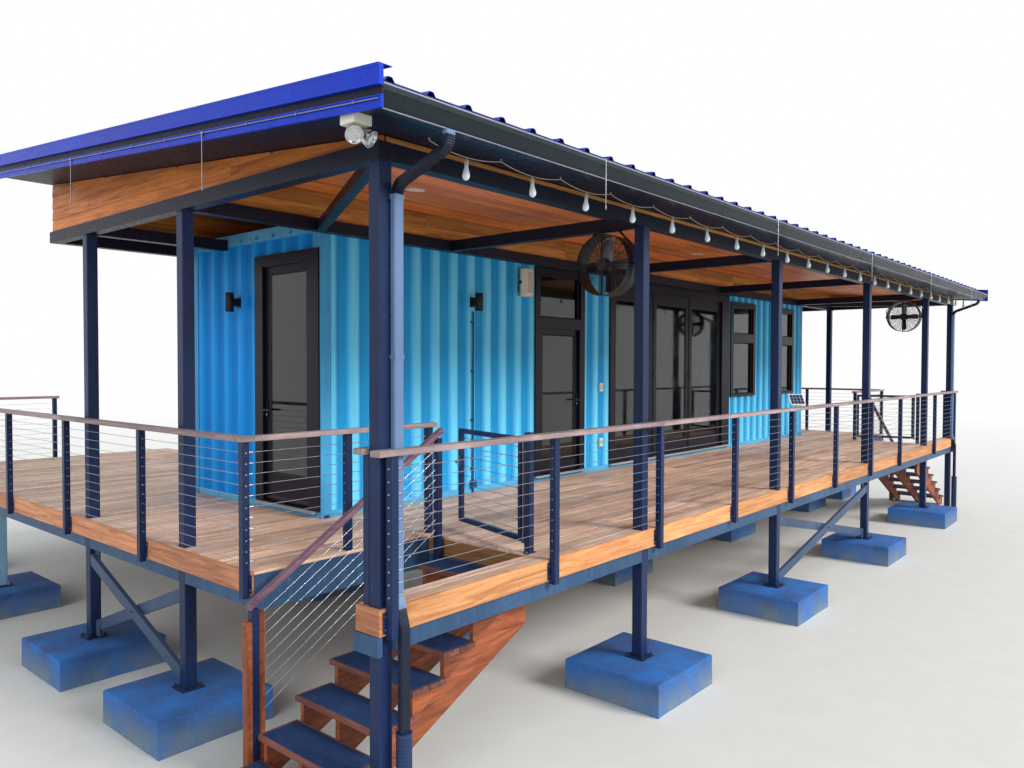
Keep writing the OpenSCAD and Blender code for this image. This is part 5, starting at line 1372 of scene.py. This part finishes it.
def make_roof_edge(purlin_rows=7):
    """Rake trims in lengths on a near-black strip whose colour is mostly painted shade under the cap trim's
    overhang, C purlins, and the misting line clipped to the trim.
    """
    trims, shaded_recess, purlins, mist, front = kits(5)
    low, high = GUTTER_FRONT, ROOF_BACK
    for a, b in spans([low, *steps(low + 2440, high - 500, 2440), high]):
        for outline in (TRIM, CAP_TRIM):
            trims.prism([(RAKE_X + u, w) for u, w in outline], "y", a + (0.8 if a > low else 0), b)
        for y in steps(a + 150, b - 100, 610):
            trims.lathe((RAKE_X - 31, y, 150), (-1, 0, 0), ((6, -1), (6, 1), (4, 2.4), (0.1, 2.6)), 8)
    shaded_recess.prism([(RAKE_X + u, w) for u, w in RECESS], "y", low, high)
    for i in range(purlin_rows):
        y = ROOF_FRONT + i * (ROOF_BACK - ROOF_FRONT - 60) / (purlin_rows - 1)
        turned = i == purlin_rows - 1
        purlins.prism([(y + (60 - u if turned else u), w) for u, w in C_PURLIN], "x", ROOF_LEFT, ROOF_RIGHT)
    mist.rod((MIST_X, low + 20, 30), (MIST_X, high - 40, 30), 4, 10)
    for y in steps(low + 200, high - 100, 520):
        mist.box((MIST_X - 6, y, 24), (MIST_X + 9, y + 12, 38))
    for y in MIST_SPOTS:
        mist.rod((MIST_X, y, 34), (MIST_X, y, -MIST_DROP), 3.2, 10)
        mist.lathe((MIST_X, y, 36), DOWN, ((9, 0), (9, 12), (5, 22), (0.1, 22)), 12)
        mist.lathe((MIST_X, y, 10 - MIST_DROP), DOWN, MIST_NOZZLE, 12)
    for kit in (trims, shaded_recess, mist):
        kit.mirror()
    for kit in (trims, shaded_recess, purlins, mist):
        kit.move(lifted)
    y, z = low + 8, GUTTER_LOW + GUTTER_HIGH
    for x in steps(160, ROOF_RIGHT - 500, 3050):
        drop = ((4, 4), (-5, 12), (-10, 4), (-10, -MIST_DROP))
        front.tube([(x, y + v, z + w) for v, w in drop], 3.2, 10)
        front.box((x - 7, y - 12, z - 3), (x + 7, y + 8, z + 8))
        front.lathe((x, y - 10, z + 6 - MIST_DROP), DOWN, MIST_NOZZLE, 12)
    trims.piece("rake_trims", "rake", "roof_blue", "roof_frame", bevel=1.5)
    shaded_recess.piece("rake_recess", "shaded_recess", "roof_blue", "roof_frame")
    purlins.piece("roof_purlins", "purlin", "roof_blue", "roof_frame")
    mist.piece("rake_mist_pipes", "mist", "gutter_dark", smooth=40)
    front.piece("front_mist_pipes", "mist", "gutter_dark", smooth=40)


# Braces under the deck
BRACE_IN, BRACE_HALF, BRACE_DEEP, BRACE_WEB = 90, 52, 20, 6


def channel(kit, a, b, out):
    """A channel from a to b, its web towards out and its flanges behind it."""
    a, b, out = Vector(a), Vector(b), Vector(out)
    wide = (b - a).normalized().cross(out).normalized()
    h, d, t = BRACE_HALF, BRACE_DEEP, BRACE_WEB
    outline = ((-h, d), (h, d), (h, -d), (h - t, -d), (h - t, d - t), (t - h, d - t), (t - h, -d), (-h, -d))
    kit.rings([[p + wide * u + out * v for u, v in outline] for p in (a, b)])


def make_braces():
    """Crossed channels with gussets, along the front and at either side."""
    kit, bolts = kits(2)
    low, high = FOOT_TOP + BRACE_IN, BEAM_LOW - BRACE_IN
    runs = [(along_x, INNER_POSTS[1], INNER_POSTS[2], FRONT_Y, -1)]
    runs += [(along_y, *SIDE_POSTS_Y, x, -1 if x < 0 else 1) for x in (LEFT_X, RIGHT_X)]
    for place, near, far, across, out in runs:
        face = place(0, out, 0)
        for z0, z1, side in ((low, high, 1), (high, low, -1)):
            slope, v = (z1 - z0) / (far - near), across + 25 * side * out
            a, b = (place(s, v, z0 + slope * (s - near)) for s in (near + HALF - 12, far - HALF + 12))
            channel(kit, a, b, face)
        for shift in (0, 24, -24):
            middle = place((near + far) / 2 + shift, across + 45 * out, (low + high) / 2)
            bolts.lathe(middle, face, ((9, 0), (9, 3), (7, 3), (7, 9), (0.1, 10)), 6)
        for s, way in ((near + HALF, 90), (far - HALF, -90)):
            for z in (low, high):
                kit.box(place(s, across + 3, z - 70), place(s + way, across - 3, z + 70))
    kit.piece("brace_channels", "brace", "black_steel", "x_braces", bevel=2)
    bolts.piece("brace_bolts", "bolts", "black_steel", smooth=40)


# Doors and windows. The profiles of their mouldings pair a width in from the edge with a depth.
LEAF_FACE, LEAF_T, GLASS_T, JAMB, STILE, LEAF_GAP = 20, 50, 24, 45, 80, 8
LEAF_LOW, TALL_TOP, WINDOW_TOP = 72, 2660, 2560
GLASS_FACE = LEAF_FACE + LEAF_T / 2 - GLASS_T / 2
END_DOOR, ENTRY, END_RAIL, ENTRY_RAIL, TRANSOM = (120, 910, 2520), (3260, 960, 1950), 270, 130, 120
PATIO_X, PATIO_WID, PATIO_TRIM, PATIO_HEAD, PATIO_STILE = 4940, 3700, 240, 90, 100
PATIO_TOP_RAIL, PATIO_LOW_RAIL, HINGE_LEVELS, LOCK_UP = 160, 190, (420, 1310, 2200), 870
WINDOWS, WINDOW_WID, WINDOW_SILL, MULLION = (8810, 10700), 940, 900, (1880, 2040)
BEAD = ((0, GLASS_FACE - 1), (0, LEAF_FACE + 2), (5, LEAF_FACE + 2), (15, GLASS_FACE - 4),
        (15, GLASS_FACE - 1))
SEAL = ((8, GLASS_FACE - 0.2), (8, GLASS_FACE - 3), (18, GLASS_FACE - 3), (19, GLASS_FACE - 0.2))
CASING = [(u, LEAF_FACE + v) for u, v in ((0, 3), (0, -4), (3, -7), (11, -7), (14, -3), (14, 3))]
DRIP_BAR = ((LEAF_FACE + 1, 14), (LEAF_FACE - 9, 16), (LEAF_FACE - 11, 20), (LEAF_FACE + 1, 52))
FRONT_SILL = ((-56, 40), (0.5, 40), (0.5, 59.5), (-22, 59.5), (-30, 54), (-40, 54), (-44, 50), (-56, 47))


def rim(kit, place, x0, x1, z0, z1, profile):
    """A mitred moulding round a pane."""
    kit.rings([[place(x0 + u, v, z0 + u), place(x1 - u, v, z0 + u), place(x1 - u, v, z1 - u),
                place(x0 + u, v, z1 - u)] for u, v in profile], closed=True)


def make_leaf_parts(name, place, start, wide, top, low_rail):
    """Beads and seals round a leaf's glass, its drip bar, and the lock under its handle."""
    kit, seals, bright = kits(3)
    low = LEAF_LOW + LEAF_GAP
    x0, x1 = start + JAMB + LEAF_GAP, start + wide - JAMB - LEAF_GAP
    for k, profile in ((kit, BEAD), (seals, SEAL)):
        rim(k, place, x0 + STILE, x1 - STILE, low + low_rail, top - STILE, profile)
    kit.rings([[place(u, v, low + w) for v, w in DRIP_BAR] for u in (x0 + 12, x1 - 12)])
    lock, out = Vector(place(x1 - STILE / 2, LEAF_FACE - 11.5, low + LOCK_UP)), Vector(place(0, -1, 0))
    bright.lathe(lock, out, ((11, 0), (11, 4), (9, 5.5), (0.1, 5.6)), 20)
    bright.lathe(lock + 5.6 * out, out, ((3, 0), (3, 0.6), (0.1, 0.6)), 12)
    kit.piece(f"{name}_beads", "frames", "frame_black", bevel=1.5, body=name)
    seals.piece(f"{name}_seals", "seal", "frame_black", body=name)
    bright.piece(f"{name}_lock", "bolts_bright", "frame_black", smooth=40, body=name)


def make_doors():
    """Both doors' parts, then what stays fixed: beads and seals, the patio set's casings, hinges, sills."""
    start, wide, top = END_DOOR
    make_leaf_parts("end_door", along_y, start, wide, top - JAMB - LEAF_GAP, END_RAIL)
    start, wide, top = ENTRY
    make_leaf_parts("entry_door", along_x, start, wide, top - LEAF_GAP, ENTRY_RAIL)
    kit, seals, hinges, sills = kits(4)
    leaf = (PATIO_WID - JAMB - PATIO_TRIM) / 3
    leaves = [PATIO_X + JAMB + i * leaf for i in range(3)]
    head = TALL_TOP - PATIO_HEAD
    panes = [(start + JAMB, start + wide - JAMB, top + TRANSOM, TALL_TOP - JAMB)]
    panes += [(x + PATIO_STILE, x + leaf - PATIO_STILE, LEAF_LOW + PATIO_LOW_RAIL, head - PATIO_TOP_RAIL)
              for x in leaves]
    for x in WINDOWS:
        for low, high in ((WINDOW_SILL + JAMB, MULLION[0]), (MULLION[1], WINDOW_TOP - JAMB)):
            panes.append((x + JAMB, x + WINDOW_WID - JAMB, low, high))
    for pane in panes:
        rim(kit, along_x, *pane, BEAD)
        rim(seals, along_x, *pane, SEAL)
    for x in leaves:
        rim(kit, along_x, x + 6, x + leaf - 6, LEAF_LOW + 6, head - 6, CASING)
    for x in leaves[1:]:
        for z in HINGE_LEVELS:
            hinges.rod((x, LEAF_FACE - 12, z - 48), (x, LEAF_FACE - 12, z + 48), 8, 14)
            hinges.box((x - 34, LEAF_FACE - 7.5, z - 42), (x + 34, LEAF_FACE + 0.5, z + 42))
    for x, long in ((PATIO_X, PATIO_WID), (start, wide)):
        sills.prism(FRONT_SILL, "x", x - 50, x + long + 50)
    sills.prism(FRONT_SILL[:4] + FRONT_SILL[6:], "y", END_DOOR[0] - 60, END_DOOR[0] + END_DOOR[1] + 60)
    kit.piece("fixed_beads", "frames", "frame_black", bevel=1.5)
    seals.piece("fixed_seals", "seal", "frame_black")
    hinges.piece("patio_hinges", "fittings", "frame_black", bevel=1.5)
    sills.piece("door_sills", "sill", "frame_black", bevel=1.5)


# Lashing rings along the container's end header
LASHING_Z, LASHING_FIRST, LASHING_LAST, LASHING_STEP = 2764, 480, 2100, 305
LASHING_CUP = ((24, 0), (24, 5), (20, 9), (12, 10), (11, 3), (0.1, 3))
LASHING_RING = ((8, -17, 0), (14, -13, -12), (17, 0, -20), (14, 13, -12), (8, 17, 0))


def make_lashings():
    kit = Kit()
    for x, out in ((2, -1), (BOX_L - 2, 1)):
        for y in steps(LASHING_FIRST, LASHING_LAST, LASHING_STEP):
            kit.lathe((x, y, LASHING_Z), (out, 0, 0), LASHING_CUP, 20)
            kit.tube([(x + out * u, y + v, LASHING_Z + w) for u, v, w in LASHING_RING], 3.5, 8)
    kit.piece("lashing_rings", "castings", "rail_blue", smooth=40)


# Solar lamp on the front rail
SOLAR_X, SOLAR_UP = 5012, 92


def make_solar_lamp():
    """A small tilted panel in a pale frame, on a stem and foot that stand on the rail cap."""
    frame_, cell = kits(2)
    base = Vector((SOLAR_X, FRONT_RAIL_Y, RAIL_HIGH))
    middle = base + Vector((0, 0, SOLAR_UP))
    wide = Vector((math.cos(YAW), -math.sin(YAW), 0))
    face = Vector((-math.sin(YAW), -math.cos(YAW), 1)).normalized()
    up = face.cross(wide)

    def slab(kit, half_w, half_h, levels, u=0, v=0):
        """A plate about (u, v) on the panel, drawn in at each level by an inset."""
        kit.rings([[middle + (u + a * (half_w - inset)) * wide + (v + b * (half_h - inset)) * up
                    + level * face for a, b in SQUARE] for level, inset in levels])

    slab(frame_, 90, 86, ((-9, 2), (-7, 0), (4, 0), (6, 2)))
    slab(frame_, 34, 30, ((-34, 4), (-30, 0), (-12, 0), (-8, 4)))
    for u in (-60, -20, 20, 60):
        for v in (-50, 0, 50):
            slab(cell, 18.5, 23.5, ((5.5, 0), (7, 0)), u, v)
    frame_.lathe(base, UP, ((30, -0.5), (30, 4), (26, 7), (9, 9), (9, 78)), 24)
    frame_.piece("solar_lamp_frame", "speaker", "cap_wood", smooth=35)
    cell.piece("solar_lamp_cells", "cell", "cap_wood")


dress_nodes()
make_camera()
for make in (make_deck, make_fascia, make_railings, make_ceiling, make_gables, make_roof_screws,
             make_gutters, make_downspouts, make_caps, make_gates, make_treads, make_supports, make_fans,
             make_string_lights, make_wall_parts, make_soffit_parts, make_roof_edge, make_braces,
             make_doors, make_lashings, make_solar_lamp, make_studio, keep_sizes):
    make()
